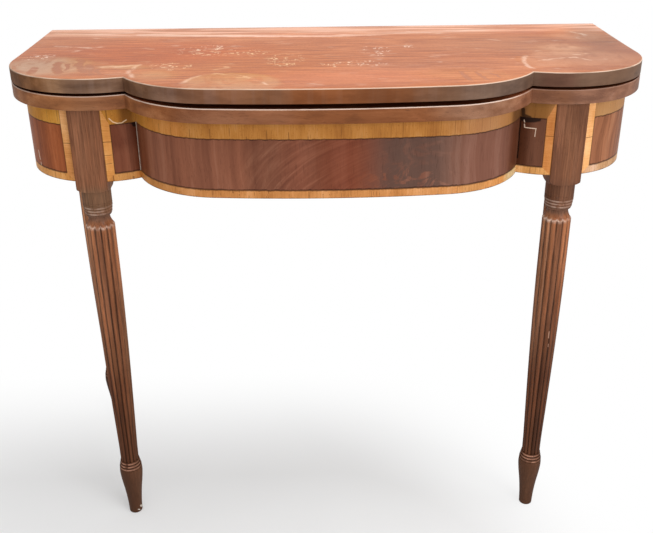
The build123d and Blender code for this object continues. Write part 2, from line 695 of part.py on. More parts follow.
skin = (APRON_INSET, CORE_INSET)
upper_levels = (UPPER_BAND_BOTTOM, TOP_UNDER)
panel_levels = (LOWER_BAND_TOP, UPPER_BAND_BOTTOM)
lower_levels = (APRON_BOTTOM, LOWER_BAND_TOP)
strip_in = area(strip_inner_x, die_left_x, -TOP_DEPTH, LOBE_CENTRE[1])
strip_out = area(die_right_x, strip_outer_x, -TOP_DEPTH, LOBE_CENTRE[1])
strip_inner = apron_layer(*skin, strip_in, *height)
strip_inner -= mitre(die_left_x, strip_inner_x, APRON_BOTTOM, LOWER_BAND_TOP)
strip_inner -= mitre(die_left_x, strip_inner_x, TOP_UNDER, UPPER_BAND_BOTTOM)
strip_outer = apron_layer(*skin, strip_out, *height)
strip_outer -= mitre(die_right_x, strip_outer_x, APRON_BOTTOM, LOWER_BAND_TOP)
nodes["panel_front"] = apron_layer(*skin, centre_region, *panel_levels)
nodes["band_upper_front"] = apron_layer(*skin, centre_region, *upper_levels)
nodes["band_lower_front"] = apron_layer(*skin, centre_region, *lower_levels)
both_sides("panel_inner", apron_layer(*skin, inner_region(strip_inner_x), *panel_levels))
band_upper_inner = apron_layer(*skin, inner_region(die_left_x), *upper_levels)
band_lower_inner = apron_layer(*skin, inner_region(die_left_x), *lower_levels)
both_sides("band_upper_inner", band_upper_inner - strip_inner)
both_sides("band_lower_inner", band_lower_inner - strip_inner)
both_sides("panel_outer", apron_layer(*skin, outer_region(strip_outer_x), *panel_levels))
both_sides("band_upper_outer", apron_layer(*skin, outer_region(strip_outer_x), *upper_levels))
band_lower_outer = apron_layer(*skin, outer_region(die_right_x), *lower_levels)
both_sides("band_lower_outer", band_lower_outer - strip_outer)
both_sides("strip_inner", strip_inner)
both_sides("strip_outer", strip_outer)

nodes["leaf"] = leaf
nodes["fixed_top"] = fixed_top
nodes["front_rail"] = front_rail
both_sides("corner_block", corner_block)
nodes["side_rail_right"] = side_rail_right
nodes["side_rail_left"] = side_rail_left
nodes["inner_rear_rail"] = inner_rear_rail
nodes["fixed_rear_rail"] = fixed_rail
nodes["swing_rail"] = swing_rail
nodes["knuckle_pin"] = knuckle_pin
nodes["cross_brace"] = brace
nodes["side_fixing_blocks"] = side_blocks
nodes["rear_fixing_blocks"] = rear_blocks
nodes["front_fixing_blocks"] = front_blocks
nodes["top_screws"] = top_screws
both_sides("front_leg", front_leg)
nodes["rear_leg_right"] = rear_leg
nodes["swing_leg"] = swing_leg

to_origin = Pos(0, REAR_EDGE_Y, 0)
for name, piece in nodes.items():
    if isinstance(piece, list):
        placed = Compound([to_origin * solid for solid in piece])
    else:
        placed = to_origin * piece
    placed.label = name
    export_step(placed, os.path.join("parts", name + ".step"))

print("leaf clears the swung leg up to", open_limit_degrees(rear_swing_reach()), "degrees")
print("nodes", len(nodes), "hinge axis", REAR_EDGE_Y + AXIS_BEHIND_EDGE, HINGE_LEVEL)
print("swing pivot", SWING_PIVOT_X, SWING_PIVOT_Y + REAR_EDGE_Y)
print("front feet", FRONT_LEG_X, FRONT_LEG_Y + REAR_EDGE_Y)
print("rear feet", REAR_LEG_X, REAR_LEG_Y + REAR_EDGE_Y)
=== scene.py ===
import math

import bmesh
import bpy
from mathutils import Matrix, Vector
from mathutils.geometry import delaunay_2d_cdt


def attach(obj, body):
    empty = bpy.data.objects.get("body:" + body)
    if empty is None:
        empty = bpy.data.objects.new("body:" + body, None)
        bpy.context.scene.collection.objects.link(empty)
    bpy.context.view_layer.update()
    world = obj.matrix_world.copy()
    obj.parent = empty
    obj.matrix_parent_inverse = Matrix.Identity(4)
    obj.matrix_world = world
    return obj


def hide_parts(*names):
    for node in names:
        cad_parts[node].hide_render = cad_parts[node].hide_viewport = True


# Card table with a fold-over leaf. Metres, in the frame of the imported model.
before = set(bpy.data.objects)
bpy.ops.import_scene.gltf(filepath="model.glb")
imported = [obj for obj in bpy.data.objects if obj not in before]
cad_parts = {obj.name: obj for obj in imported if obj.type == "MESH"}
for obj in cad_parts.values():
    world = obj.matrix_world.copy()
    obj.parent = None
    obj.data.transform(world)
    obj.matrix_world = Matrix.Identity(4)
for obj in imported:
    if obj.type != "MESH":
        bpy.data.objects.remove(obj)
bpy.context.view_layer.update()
MM = 0.001

# Outline of the boards in plan
HALF_WIDTH = 457 * MM
REAR_Y = 212.4 * MM
FRONT_Y = -217.6 * MM
LOBE_RADIUS = 129.7 * MM
LOBE_X = 327.3 * MM
LOBE_Y = -12.3 * MM
BOW_RADIUS = 1537 * MM
BOW_END_RADIUS = 151 * MM
CUSP_DIRECTION = math.radians(-113.34)
SIDE_STEPS = 14
LOBE_STEPS = 60
BOW_END_STEPS = 40
BOW_STEPS = 24
REAR_STEPS = 28

# Boards: levels, the lift of the old leaf and the softened arrises
LEAF_TOP = 756 * MM
LEAF_UNDER = 736 * MM
FIXED_TOP = 735.7 * MM
FIXED_UNDER = 715.7 * MM
WARP_START_Y = REAR_Y - 100 * MM
WARP_RADIUS = 9078 * MM
UPPER_ARRIS = 1.5 * MM
LOWER_ARRIS = 0.9 * MM
ARRIS_STEPS = 4
NET = 16 * MM
NET_MARGIN = 9 * MM

# Hinges, let into the side edges of the boards, and their screws
PLATE_LENGTH = 70 * MM
PLATE_DEPTH = 3 * MM
PLATE_HEIGHT = 12 * MM
PLATE_SCREWS_FROM_REAR = (60 * MM, 40 * MM, 20 * MM)
EYE_DEPTH = 3.4 * MM
EYE_RADIUS = 5.4 * MM
EYE_FACES = 48
PIN_Y = REAR_Y + 0.2 * MM
PIN_LEVEL = (LEAF_UNDER + FIXED_TOP) / 2
OVERRUN = 10 * MM

# Screws that hold the top, driven up through the fixing blocks
BLOCK_SCREWS = ((0.4051, 0.1021), (0.4051, 0.0122), (0.250, 0.1246), (0.110, -0.1618))
BLOCK_SCREW_LEVEL = FIXED_UNDER - 25 * MM
BLOCK_SCREW = {
    "Head Radius": 4.4 * MM, "Head Height": 2.8 * MM, "Shank Radius": 2.2 * MM, "Length": 35 * MM,
    "Point Length": 6 * MM, "Slot Width": 1.1 * MM, "Slot Depth": 1.3 * MM,
}
PLATE_SCREW = {
    "Head Radius": 3 * MM, "Head Height": 1.6 * MM, "Shank Radius": 1.5 * MM, "Length": 16 * MM,
    "Point Length": 3 * MM, "Slot Width": 0.8 * MM, "Slot Depth": 0.8 * MM,
}
SCREW_SIDES = 32
SHANK_TAPER = 0.85

# Legs
FRONT_LEG = (337 * MM, -103.6 * MM)
REAR_LEG = (418.1 * MM, 181.6 * MM)
SWING_LEG = (-418.1 * MM, 181.9 * MM)
SWING_LEG_GAP = 0.3 * MM
HALF_DIE = 22.5 * MM
DIE_LEVELS = (680 * MM, 650 * MM, 625 * MM)
DIE_BOTTOM = 592 * MM
DIE_POWER = 40.0
SHOULDER_HEIGHT = 8 * MM
DRUM_RADIUS = 21 * MM
GROOVE_LEVELS = (573 * MM, 570.6 * MM)
GROOVE_DEPTH = 0.35 * MM
GROOVE_SLOPE = 0.2 * MM
RING_COUNT = 3
RING_TOP = 568.5 * MM
RING_HEIGHT = 4.6 * MM
RING_STEP = -0.6 * MM
RING_BULGE = 0.7 * MM
NECK_RADIUS = 15.2 * MM
NECK_TOP = 554.7 * MM
COVE_TOP = 550.7 * MM
COVE_HEIGHT = 16 * MM
REED_COUNT = 14
REED_DEPTH = 1.9 * MM
FACES_PER_REED = 12
FOOT_RING_TOP = 109 * MM
FOOT_RING_RADIUS = 15 * MM
FOOT_RING_HEIGHT = 5.2 * MM
FOOT_RING_STEP = 1.1 * MM
SHOULDER_STEPS = 8
RING_STEPS = 8
NECK_STEPS = 6
COVE_STEPS = 14

# Level and radius, in millimetres, down the reeded shaft, the vase foot and its rounded toe
REED_STATIONS = ((534.7, 21), (430, 21), (320, 19.5), (220, 17.1), (130, 14.6), (109, 14.5))
FOOT_STATIONS = ((93.4, 18.1), (84, 18.5), (66, 16.7), (50, 14.4), (33, 12.5), (16, 11.2), (1.2, 10.6))
FOOT_LEVELS = (93.4, 92, 90, 87, 84, *range(80, 0, -5), 1.2)
TOE_STATIONS = ((0.4, 10.1), (0, 9.4), (0, 0))

# Veneers of the apron: edges of the panels, bands and upright strips
APRON_BOTTOM = 608 * MM
PANEL_TOP = 690.1 * MM
PANEL_BOTTOM = 620 * MM
UPPER_BAND_BOTTOM = 690.4 * MM
LOWER_BAND_TOP = 619.2 * MM
STRIP_WIDTH = 12 * MM
DIE_SIDES = (FRONT_LEG[0] - HALF_DIE, FRONT_LEG[0] + HALF_DIE)
STRIP_SIDES = (DIE_SIDES[0] - STRIP_WIDTH, DIE_SIDES[1] + STRIP_WIDTH)

# Camera: its place, the way it looks in radians, and its lens in pixels of the picture
VIEW_PLACE = (-0.02836, -1.32384, 1.05126)
YAW, PITCH, ROLL = 0.019179, 0.445025, -0.0083783
PICTURE_WIDTH, PICTURE_HEIGHT = 653, 533
FOCAL_LENGTH = 896.503
CENTRE_ROW = 260.384
SENSOR_WIDTH = 36


def paint(red, green, blue):
    """Linear colour from one written as 0 to 255."""
    linear = []
    for part in (red, green, blue):
        share = part / 255
        linear.append(share / 12.92 if share <= 0.04045 else ((share + 0.055) / 1.055) ** 2.4)
    return (*linear, 1)


def tones(*colours):
    """Tones of a wood, from dark to light."""
    return [paint(*colour) for colour in colours]


class Nodes:
    """A node tree, and short ways to add to it."""

    def __init__(self, tree):
        self.tree = tree

    def add(self, kind, inputs=None, **settings):
        """A new node. Each of its inputs is a value or another node's output."""
        node = self.tree.nodes.new(kind)
        for name, value in settings.items():
            setattr(node, name, value)
        for socket, value in (inputs or {}).items():
            if isinstance(value, bpy.types.NodeSocket):
                self.tree.links.new(value, node.inputs[socket])
            else:
                node.inputs[socket].default_value = value
        return node

    def out(self, kind, inputs=None, output=0, **settings):
        """An output of a new node."""
        return self.add(kind, inputs, **settings).outputs[output]

    def calc(self, operation, first, second=0.0):
        return self.out("ShaderNodeMath", {0: first, 1: second}, operation=operation)

    def product(self, first, *others):
        for other in others:
            first = self.calc("MULTIPLY", first, other)
        return first

    def plus(self, start, value, amount):
        """A start, and a value times an amount on top of it."""
        return self.calc("ADD", start, self.product(value, amount))

    def rest(self, share):
        """What a share leaves of one."""
        return self.calc("SUBTRACT", 1.0, share)

    def off(self, value, place):
        """How far a value is from a place."""
        return self.calc("ABSOLUTE", self.calc("SUBTRACT", value, place))

    def vector(self, operation, *values, output=0):
        return self.out("ShaderNodeVectorMath", dict(enumerate(values)), output, operation=operation)

    def parts(self, vector):
        return self.add("ShaderNodeSeparateXYZ", {0: vector}).outputs

    def joined(self, x, y, z):
        return self.out("ShaderNodeCombineXYZ", {0: x, 1: y, 2: z})


class Finish(Nodes):
    """Nodes of one finish, read in the piece's own coordinates."""

    def __init__(self, name):
        self.material = bpy.data.materials.new(name)
        self.material.use_nodes = True
        super().__init__(self.material.node_tree)
        self.tree.nodes.clear()
        coordinates = self.add("ShaderNodeTexCoord").outputs
        self.place = coordinates["Object"]
        self.x, self.y, self.z = self.parts(self.place)
        self.facing_x, _, self.facing_z = self.parts(coordinates["Normal"])
        self.flattened = {}

    def placed(self, scale=(1, 1, 1), turn=(0, 0, 0), shift=(0, 0, 0), source=None):
        """The coordinates turned, stretched and moved."""
        values = {"Vector": source or self.place, "Scale": scale, "Rotation": turn, "Location": shift}
        return self.out("ShaderNodeMapping", values)

    def noise(self, where, detail=3.0, rough=0.55, curl=0.0):
        values = {"Vector": where, "Scale": 1.0, "Detail": detail, "Roughness": rough, "Distortion": curl}
        return self.out("ShaderNodeTexNoise", values)

    def cloud(self, scale, detail=3.0, rough=0.55, curl=0.0, shift=(0, 0, 0), source=None):
        """Noise with a scale of its own along each axis."""
        return self.noise(self.placed(scale, shift=shift, source=source), detail, rough, curl)

    def cells(self, scale, turn, **settings):
        """Distance from the nearest of scattered points, or from the edges between them."""
        values = {"Vector": self.placed(scale, (0, 0, turn)), "Scale": 1.0}
        return self.out("ShaderNodeTexVoronoi", values, "Distance", **settings)

    def rise(self, value, start, end, low=0.0, high=1.0):
        """From low at start to high at end, eased."""
        values = {0: value, 1: start, 2: end, 3: low, 4: high}
        return self.out("ShaderNodeMapRange", values, interpolation_type="SMOOTHSTEP")

    def near(self, value, place, reach):
        """One where a value is at a place, nothing from its reach away."""
        return self.rise(self.off(value, place), reach, reach * 0.3)

    def seams(self, value, places, half):
        """One along each of several seams."""
        return self.most(*[self.near(value, place, half) for place in places])

    def most(self, *values):
        """The greatest of several values."""
        result = values[0]
        for value in values[1:]:
            result = self.calc("MAXIMUM", result, value)
        return result

    def without(self, value, taken):
        return self.product(value, self.rest(taken))

    def flat(self, side):
        """The coordinates as seen square from the top or the front, a little ragged."""
        if side not in self.flattened:
            kept, amount = {
                "top": ((1, 1, 0), (0.014, 0.014, 0.0)),
                "front": ((1, 0, 1), (0.0012, 0.0, 0.0012)),
            }[side]
            wander = self.out("ShaderNodeTexNoise", {"Vector": self.place, "Scale": 55.0, "Detail": 3.0}, 1)
            ragged = self.vector("MULTIPLY", self.vector("SUBTRACT", wander, (0.5, 0.5, 0.5)), amount)
            self.flattened[side] = self.vector("ADD", self.vector("MULTIPLY", self.place, kept), ragged)
        return self.flattened[side]

    def spot(self, centre, size, turn=0.0, rim=0.0):
        """One at a place seen from the top, fading from its rim to nothing at size from it."""
        moved = self.vector("SUBTRACT", self.flat("top"), (*centre, 0.0))
        turned = self.placed(turn=(0, 0, turn), source=moved)
        shrunk = self.placed(scale=(1 / size[0], 1 / size[1], 1), source=turned)
        return self.rise(self.vector("LENGTH", shrunk, output="Value"), 1.0, rim)

    def spots(self, rows):
        """Spots side by side. A row is a centre, a size, a turn and a rim."""
        return self.most(*[self.spot(*row) for row in rows])

    def drawn(self, side, half, soft, *points):
        """One along a line seen from the top or the front, of a half width and a softness."""
        nearest = None
        corners = [Vector((x, other, 0) if side == "top" else (x, 0, other)) for x, other in points]
        for start, end in zip(corners, corners[1:]):
            run = end - start
            away = self.vector("SUBTRACT", self.flat(side), start)
            share = self.vector("DOT_PRODUCT", away, run / run.length_squared, output="Value")
            share = self.calc("MINIMUM", self.calc("MAXIMUM", share, 0.0), 1.0)
            foot = self.out("ShaderNodeVectorMath", {0: run, "Scale": share}, operation="SCALE")
            reach = self.vector("DISTANCE", away, foot, output="Value")
            nearest = reach if nearest is None else self.calc("MINIMUM", nearest, reach)
        return self.rise(nearest, half, half * (1 - soft))

    def lines(self, side, rows):
        """Drawn lines side by side. A row is a half width, a softness and the points of a line."""
        return self.most(*[self.drawn(side, *row) for row in rows])

    def shades(self, value, colours, spread):
        """Colours at even steps of a value, as far as spread on both sides of a half."""
        node = self.add("ShaderNodeValToRGB", {0: value})
        marks = node.color_ramp.elements
        while len(marks) < len(colours):
            marks.new(1.0)
        for index, (mark, colour) in enumerate(zip(marks, colours)):
            mark.position = 0.5 + spread * (2 * index / (len(colours) - 1) - 1)
            mark.color = colour
        return node.outputs[0]

    def over(self, share, under, above, mode="MIX"):
        values = {0: share, 6: under, 7: above}
        return self.out("ShaderNodeMix", values, 2, data_type="RGBA", blend_type=mode)

    def relief(self, height, depth, strength, under=None):
        """Bump of a given depth in metres, on top of another if there is one."""
        values = {"Height": height, "Distance": depth, "Strength": strength}
        if under is not None:
            values["Normal"] = under
        return self.out("ShaderNodeBump", values)

    def done(self, colour, roughness, normal, **constants):
        values = {"Base Color": colour, "Roughness": roughness, "Normal": normal}
        values.update({name.replace("_", " "): value for name, value in constants.items()})
        shader = self.out("ShaderNodeBsdfPrincipled", values)
        self.add("ShaderNodeOutputMaterial", {"Surface": shader})
        return self.material


class Coat:
    """The colour of a finish, built up in layers."""

    def __init__(self, finish, colour):
        self.finish = finish
        self.colour = colour

    def lay(self, tone, *shares):
        """Lay a tone over the product of some shares of the surface."""
        self.colour = self.finish.over(self.finish.product(*shares), self.colour, tone)

    def tint(self, tint, *shares):
        """Multiply the colour by a tint, over the product of some shares of the surface."""
        self.colour = self.finish.over(self.finish.product(*shares), self.colour, (*tint, 1), "MULTIPLY")

    def tint_along(self, zones, *shares):
        """Tints along the width of the table. A zone is its middle, its reach and its tint."""
        for middle, reach, tint in zones:
            self.tint(tint, self.finish.near(self.finish.x, middle, reach), *shares)


def long_grain(finish, along, wood, seed=0.0, slow=1.6, quick=46.0, spread=0.16):
    """Grain that runs along one axis: a coat of the wood's tones, its streaks and its pores."""

    def drawn_out(across, lengthwise):
        return [lengthwise if axis == along else across for axis in range(3)]

    wander = finish.cloud((3, 5, 5), 2.0, shift=(seed, 0, 0))
    sway = finish.product(finish.calc("SUBTRACT", wander, 0.5), 0.035)
    bent = finish.vector("ADD", finish.place, finish.joined(*drawn_out(sway, 0.0)))
    streaks = finish.cloud(drawn_out(quick, slow), 5.0, 0.62, shift=(seed, seed, 0), source=bent)
    broad = finish.cloud(drawn_out(7.0, 0.9), 2.0, shift=(seed, 0, seed), source=bent)
    mixed = finish.plus(finish.product(streaks, 0.6), broad, 0.4)
    pores = finish.cloud(drawn_out(quick * 28, slow * 36), 1.0, 0.5, source=bent)
    return Coat(finish, finish.shades(mixed, wood, spread)), streaks, finish.rise(pores, 0.60, 0.74)


def upward(finish):
    """Share of the faces that look up."""
    return finish.rise(finish.facing_z, 0.75, 0.97)


def downward(finish):
    """Share of the faces that look down."""
    return finish.rise(finish.facing_z, -0.75, -0.97)


def worn_and_highlit_arris(finish):
    """Share of wear and of a painted highlight on the arris between a side and the upper face."""
    up = finish.rise(finish.facing_z, 0.12, 0.32)
    down = finish.rise(finish.facing_z, 0.93, 0.99, 1.0, 0.0)
    return finish.product(up, down, finish.rise(finish.cloud((14, 14, 60)), 0.3, 0.5, 0.5, 1.0))


def playing_face(finish):
    """Redder, well kept mahogany of the faces that the closed table covers, with faint rubbed marks and
    painted shade along the rim.
    """
    wood = tones((112, 56, 32), (148, 80, 46), (178, 108, 68))
    coat, _, pores = long_grain(finish, 0, wood, 5.1, 3.0, 90.0, 0.17)
    coat.lay(paint(196, 142, 104), finish.rise(finish.cloud((11, 16, 1), 4.0, 0.6, 0.8), 0.50, 0.72), 0.22)
    coat.lay(paint(66, 34, 22), pores, 0.4)
    # Painted shade along the bow and the lobes, where the gap between the closed boards looks dark
    span = finish.calc("ABSOLUTE", finish.x)
    level = finish.joined(span, finish.y, 0.0)
    to_bow = finish.vector("DISTANCE", level, (0, FRONT_Y + BOW_RADIUS, 0), output="Value")
    to_lobe = finish.vector("DISTANCE", level, (LOBE_X, LOBE_Y, 0), output="Value")
    by_bow = finish.rise(to_bow, BOW_RADIUS - 34 * MM, BOW_RADIUS - 8 * MM)
    by_lobe = finish.rise(to_lobe, LOBE_RADIUS - 26 * MM, LOBE_RADIUS - 6 * MM)
    by_lobe = finish.product(by_lobe, finish.rise(finish.y, -0.02, -0.07))
    outward = finish.rise(span, 0.262, 0.276)
    coat.tint((0.30, 0.26, 0.24), finish.over(outward, finish.without(by_bow, outward), by_lobe))
    return coat.colour


def fade_wood(coat):
    """Redder wood in front of the middle, browner wood right and left behind it, and fine mottle."""
    finish = coat.finish
    for centre, size, share, tone in (
        ((0.030, -0.150), (0.220, 0.090), 0.45, (216, 124, 80)),
        ((-0.170, -0.010), (0.150, 0.060), 0.30, (206, 126, 80)),
        ((0.270, 0.060), (0.200, 0.110), 0.50, (172, 112, 76)),
        ((-0.290, 0.030), (0.150, 0.090), 0.40, (180, 108, 66)),
        ((-0.400, 0.090), (0.100, 0.100), 0.35, (170, 108, 72)),
        ((0.400, -0.020), (0.170, 0.200), 0.85, (136, 84, 60)),
        ((-0.400, -0.050), (0.110, 0.110), 0.75, (148, 88, 52)),
    ):
        coat.lay(paint(*tone), finish.spot(centre, size), share)
    coat.tint((0.98, 0.76, 0.52), finish.spot((-0.270, 0.030), (0.250, 0.120), 0.0, 0.3))
    mottle = finish.cloud((230, 330, 1), 2.0, 0.6)
    coat.tint((0.80, 0.72, 0.66), finish.rise(mottle, 0.46, 0.74, 0.0, 0.55))
    coat.tint((1.14, 1.18, 1.24), finish.rise(mottle, 0.46, 0.22, 0.0, 0.5))


def wax_haze(coat, ragged):
    """Lays ragged pale patches, with darker marks wiped through them, and returns the patches."""
    finish = coat.finish
    x = finish.x
    haze = finish.spots((
        ((-0.395, -0.060), (0.085, 0.075), 0.5, 0.5),
        ((-0.290, -0.072), (0.060, 0.020), 0.1, 0.3),
        ((-0.235, -0.125), (0.045, 0.045), 0.3, 0.2),
        ((-0.128, -0.178), (0.070, 0.066), 0.15, 0.82),
        ((0.190, -0.145), (0.100, 0.048), 0.15, 0.3),
        ((0.335, -0.055), (0.074, 0.056), -0.2, 0.85),
        ((0.400, -0.050), (0.070, 0.060), -0.5, 0.3),
        ((0.400, 0.120), (0.070, 0.060), 0.6, 0.4),
        ((0.355, 0.030), (0.060, 0.045), 0.2, 0.3),
    ))
    wiped = finish.lines("top", (
        (0.006, 0.6, (-0.409, -0.070), (-0.406, -0.104)),
        (0.008, 0.6, (-0.384, -0.036), (-0.380, -0.070), (-0.368, -0.104)),
        (0.004, 0.6, (-0.368, -0.045), (-0.362, -0.085)),
        (0.008, 0.6, (-0.357, -0.020), (-0.349, -0.060), (-0.334, -0.100)),
        (0.006, 0.6, (-0.338, -0.052), (-0.322, -0.112)),
        (0.005, 0.6, (-0.320, -0.080), (-0.312, -0.112)),
        (0.005, 0.6, (0.178, -0.128), (0.182, -0.180)),
        (0.004, 0.6, (0.198, -0.130), (0.205, -0.176)),
        (0.003, 0.6, (0.218, -0.140), (0.224, -0.166)),
    ))
    haze = finish.product(haze, finish.rise(ragged, 0.30, 0.56, 0.3, 1.0))
    haze = finish.without(haze, finish.product(wiped, 0.9))
    left = finish.rise(x, -0.24, -0.34, 0.0, 0.62)
    middle = finish.rise(x, -0.05, 0.10, 0.46, 0.24)
    right = finish.rise(x, 0.24, 0.30, 0.0, 0.40)
    pale = finish.over(finish.rise(x, 0.20, 0.30), paint(216, 178, 148), paint(220, 172, 146))
    pale = finish.over(finish.rise(x, -0.34, -0.42), pale, paint(204, 176, 154))
    coat.lay(pale, haze, finish.most(left, right, middle))
    coat.lay(paint(168, 104, 70), wiped, 0.6)
    return haze


def haze_rims(coat, ragged):
    """Bright broken rims of the haze."""
    rims = coat.finish.lines("top", (
        (0.007, 0.9, (-0.325, -0.066), (-0.294, -0.069), (-0.266, -0.058)),
        (0.006, 0.9, (-0.268, -0.060), (-0.274, -0.100), (-0.262, -0.134)),
        (0.005, 0.95, (-0.192, -0.176), (-0.184, -0.150), (-0.170, -0.129), (-0.150, -0.120),
         (-0.128, -0.127), (-0.104, -0.150), (-0.080, -0.190)),
        (0.005, 0.8, (0.290, -0.031), (0.278, -0.057), (0.275, -0.091), (0.279, -0.110)),
        (0.004, 0.8, (0.302, -0.062), (0.333, -0.047), (0.356, -0.042), (0.374, -0.063)),
        (0.006, 0.9, (0.402, 0.142), (0.418, 0.117), (0.398, 0.094)),
        (0.005, 0.9, (-0.420, 0.080), (-0.369, 0.066), (-0.340, 0.071)),
    ))
    coat.lay(paint(250, 220, 198), rims, coat.finish.rise(ragged, 0.40, 0.56, 0.15, 1.0), 0.4)


def rear_band(coat):
    """Pale band along the rear edge, with a brighter streak in front of it."""
    finish = coat.finish
    broken = finish.rise(finish.cloud((6, 90, 1)), 0.36, 0.6, 0.2, 1.0)
    coat.lay(paint(250, 194, 164), finish.rise(finish.y, 0.132, 0.168), broken, 0.75)
    streak = finish.lines("top", (
        (0.012, 0.9, (-0.300, 0.160), (-0.178, 0.145), (0.008, 0.134), (0.106, 0.146)),
        (0.008, 0.9, (0.106, 0.146), (0.172, 0.156), (0.312, 0.172)),
        (0.008, 0.9, (-0.440, 0.178), (-0.367, 0.168), (-0.320, 0.180)),
    ))
    coat.lay(paint(250, 212, 188), streak, broken, 0.62)


def scratches(coat):
    """Small scratches and flecks, mostly left of the middle."""
    finish = coat.finish
    flecks = finish.rise(finish.cells((105, 62, 0), 0.4), 0.27, 0.17)
    dashes = finish.rise(finish.cells((46, 170, 0), 0.1), 0.24, 0.15)
    chosen = finish.rise(finish.cloud((42, 42, 0), 2.0), 0.50, 0.56)
    curls = finish.near(finish.cloud((120, 75, 0), 2.0), 0.5, 0.045)
    kept = finish.rise(finish.cloud((70, 90, 0), 2.0, shift=(3, 0, 0)), 0.52, 0.58)
    zones = finish.spots((
        ((-0.178, 0.034), (0.050, 0.048), 0.0, 0.7),
        ((-0.220, -0.070), (0.034, 0.028), 0.3, 0.7),
        ((-0.060, -0.035), (0.036, 0.050), 0.0, 0.6),
        ((-0.120, 0.015), (0.045, 0.030), 0.0, 0.5),
        ((0.005, -0.072), (0.030, 0.018), 0.0, 0.6),
        ((0.074, 0.020), (0.026, 0.046), 0.0, 0.6),
        ((0.052, -0.066), (0.046, 0.024), 0.0, 0.6),
        ((-0.420, 0.000), (0.030, 0.030), 0.0, 0.5),
        ((0.127, 0.052), (0.012, 0.020), 0.0, 0.5),
    ))
    marks = finish.product(finish.most(flecks, dashes), chosen)
    marks = finish.product(finish.most(marks, finish.product(curls, kept)), zones)
    hair = finish.cells((10, 120, 0), 0.06, feature="DISTANCE_TO_EDGE", voronoi_dimensions="2D")
    rare = finish.rise(finish.cloud((18, 30, 0), 2.0), 0.56, 0.62)
    hair = finish.product(finish.rise(hair, 0.06, 0.02), rare, 0.4)
    coat.lay(paint(250, 226, 206), finish.most(marks, hair), 0.66)


def tint_top_zones(coat):
    """Parts of the upper face tinted more golden, browner or paler."""
    for centre, size, tint in (
        ((-0.290, -0.005), (0.130, 0.085), (1.00, 0.95, 0.70)),
        ((-0.110, -0.050), (0.200, 0.160), (0.98, 0.90, 0.62)),
        ((0.350, 0.165), (0.120, 0.055), (0.92, 0.78, 0.68)),
        ((0.430, 0.110), (0.055, 0.110), (0.80, 0.90, 0.98)),
        ((0.360, 0.010), (0.090, 0.050), (1.18, 1.28, 1.28)),
        ((-0.420, 0.165), (0.080, 0.055), (0.85, 0.75, 0.66)),
        ((-0.060, 0.145), (0.180, 0.024), (1.18, 1.20, 1.25)),
        ((0.150, -0.080), (0.150, 0.055), (0.86, 0.84, 0.86)),
    ):
        coat.tint(tint, coat.finish.spot(centre, size, 0.0, 0.3))


def leaf_edge(finish):
    """Edge of the leaf: warm in the middle of the bow, with stains and a painted grey sheen towards both
    ends.
    """
    coat, _, _ = long_grain(finish, 0, tones((70, 44, 29), (100, 66, 44), (126, 88, 62)), 1.7)
    from_middle = finish.calc("ABSOLUTE", finish.calc("ADD", finish.x, 0.02))
    coat.lay(paint(138, 80, 44), finish.rise(from_middle, 0.24, 0.06), 0.7)
    # Greyer patches, and the paler, bluer zones along the edge, are a painted grey sheen
    coat.lay(paint(118, 94, 78), finish.rise(finish.x, 0.12, 0.30), 0.55)
    coat.lay(paint(136, 104, 84), finish.rise(finish.cloud((60, 60, 5), 4.0), 0.42, 0.66), 0.16)
    coat.tint_along((
        (-0.405, 0.065, (1.88, 1.82, 1.50)),
        (-0.330, 0.075, (1.42, 1.78, 2.30)),
        (-0.240, 0.050, (1.42, 1.52, 1.60)),
        (-0.165, 0.085, (1.30, 1.56, 2.05)),
        (-0.085, 0.050, (1.03, 1.20, 1.45)),
        (-0.012, 0.055, (1.20, 1.20, 1.22)),
        (0.190, 0.110, (1.14, 1.41, 1.80)),
        (0.240, 0.055, (0.78, 0.74, 0.70)),
        (0.308, 0.036, (0.84, 0.72, 0.74)),
    ))
    coat.tint((0.78, 0.76, 0.76), finish.rise(finish.cloud((26, 26, 70), 4.0, 0.6), 0.42, 0.64, 0.0, 0.8))
    return coat


def leaf_finish():
    """Faded long-grain mahogany: a hazed and scratched upper face, browner edges, a redder playing face."""
    finish = Finish("leaf_mahogany")
    faded = tones((146, 76, 38), (184, 105, 58), (212, 134, 85))
    upper, streaks, pores = long_grain(finish, 0, faded, 0.3, 14.0, 180.0, 0.15)
    ragged = finish.cloud((34, 22, 1), 5.0, 0.66, 1.0)
    fade_wood(upper)
    haze = wax_haze(upper, ragged)
    haze_rims(upper, ragged)
    rear_band(upper)
    scratches(upper)
    upper.lay(paint(128, 70, 46), pores, 0.3)
    tint_top_zones(upper)
    coat = leaf_edge(finish)
    coat.lay(upper.colour, upward(finish))
    coat.lay(playing_face(finish), downward(finish))
    # Pale upper arris: wear and a painted highlight
    coat.lay(paint(236, 206, 182), worn_and_highlit_arris(finish), 0.68)
    rough = finish.plus(finish.plus(0.36, haze, 0.25), pores, 0.12)
    waves = finish.relief(finish.cloud((9, 14, 9), 2.0), 0.7 * MM, 0.5)
    normal = finish.relief(streaks, 0.08 * MM, 0.6, waves)
    return finish.done(coat.colour, rough, normal, Specular_IOR_Level=0.08)


def mahogany_done(coat, streaks, pores, depth):
    """Mahogany with its pores left duller and its streaks in relief."""
    finish = coat.finish
    rough = finish.plus(0.36, pores, 0.15)
    return finish.done(coat.colour, rough, finish.relief(streaks, depth, 0.6), Specular_IOR_Level=0.08)


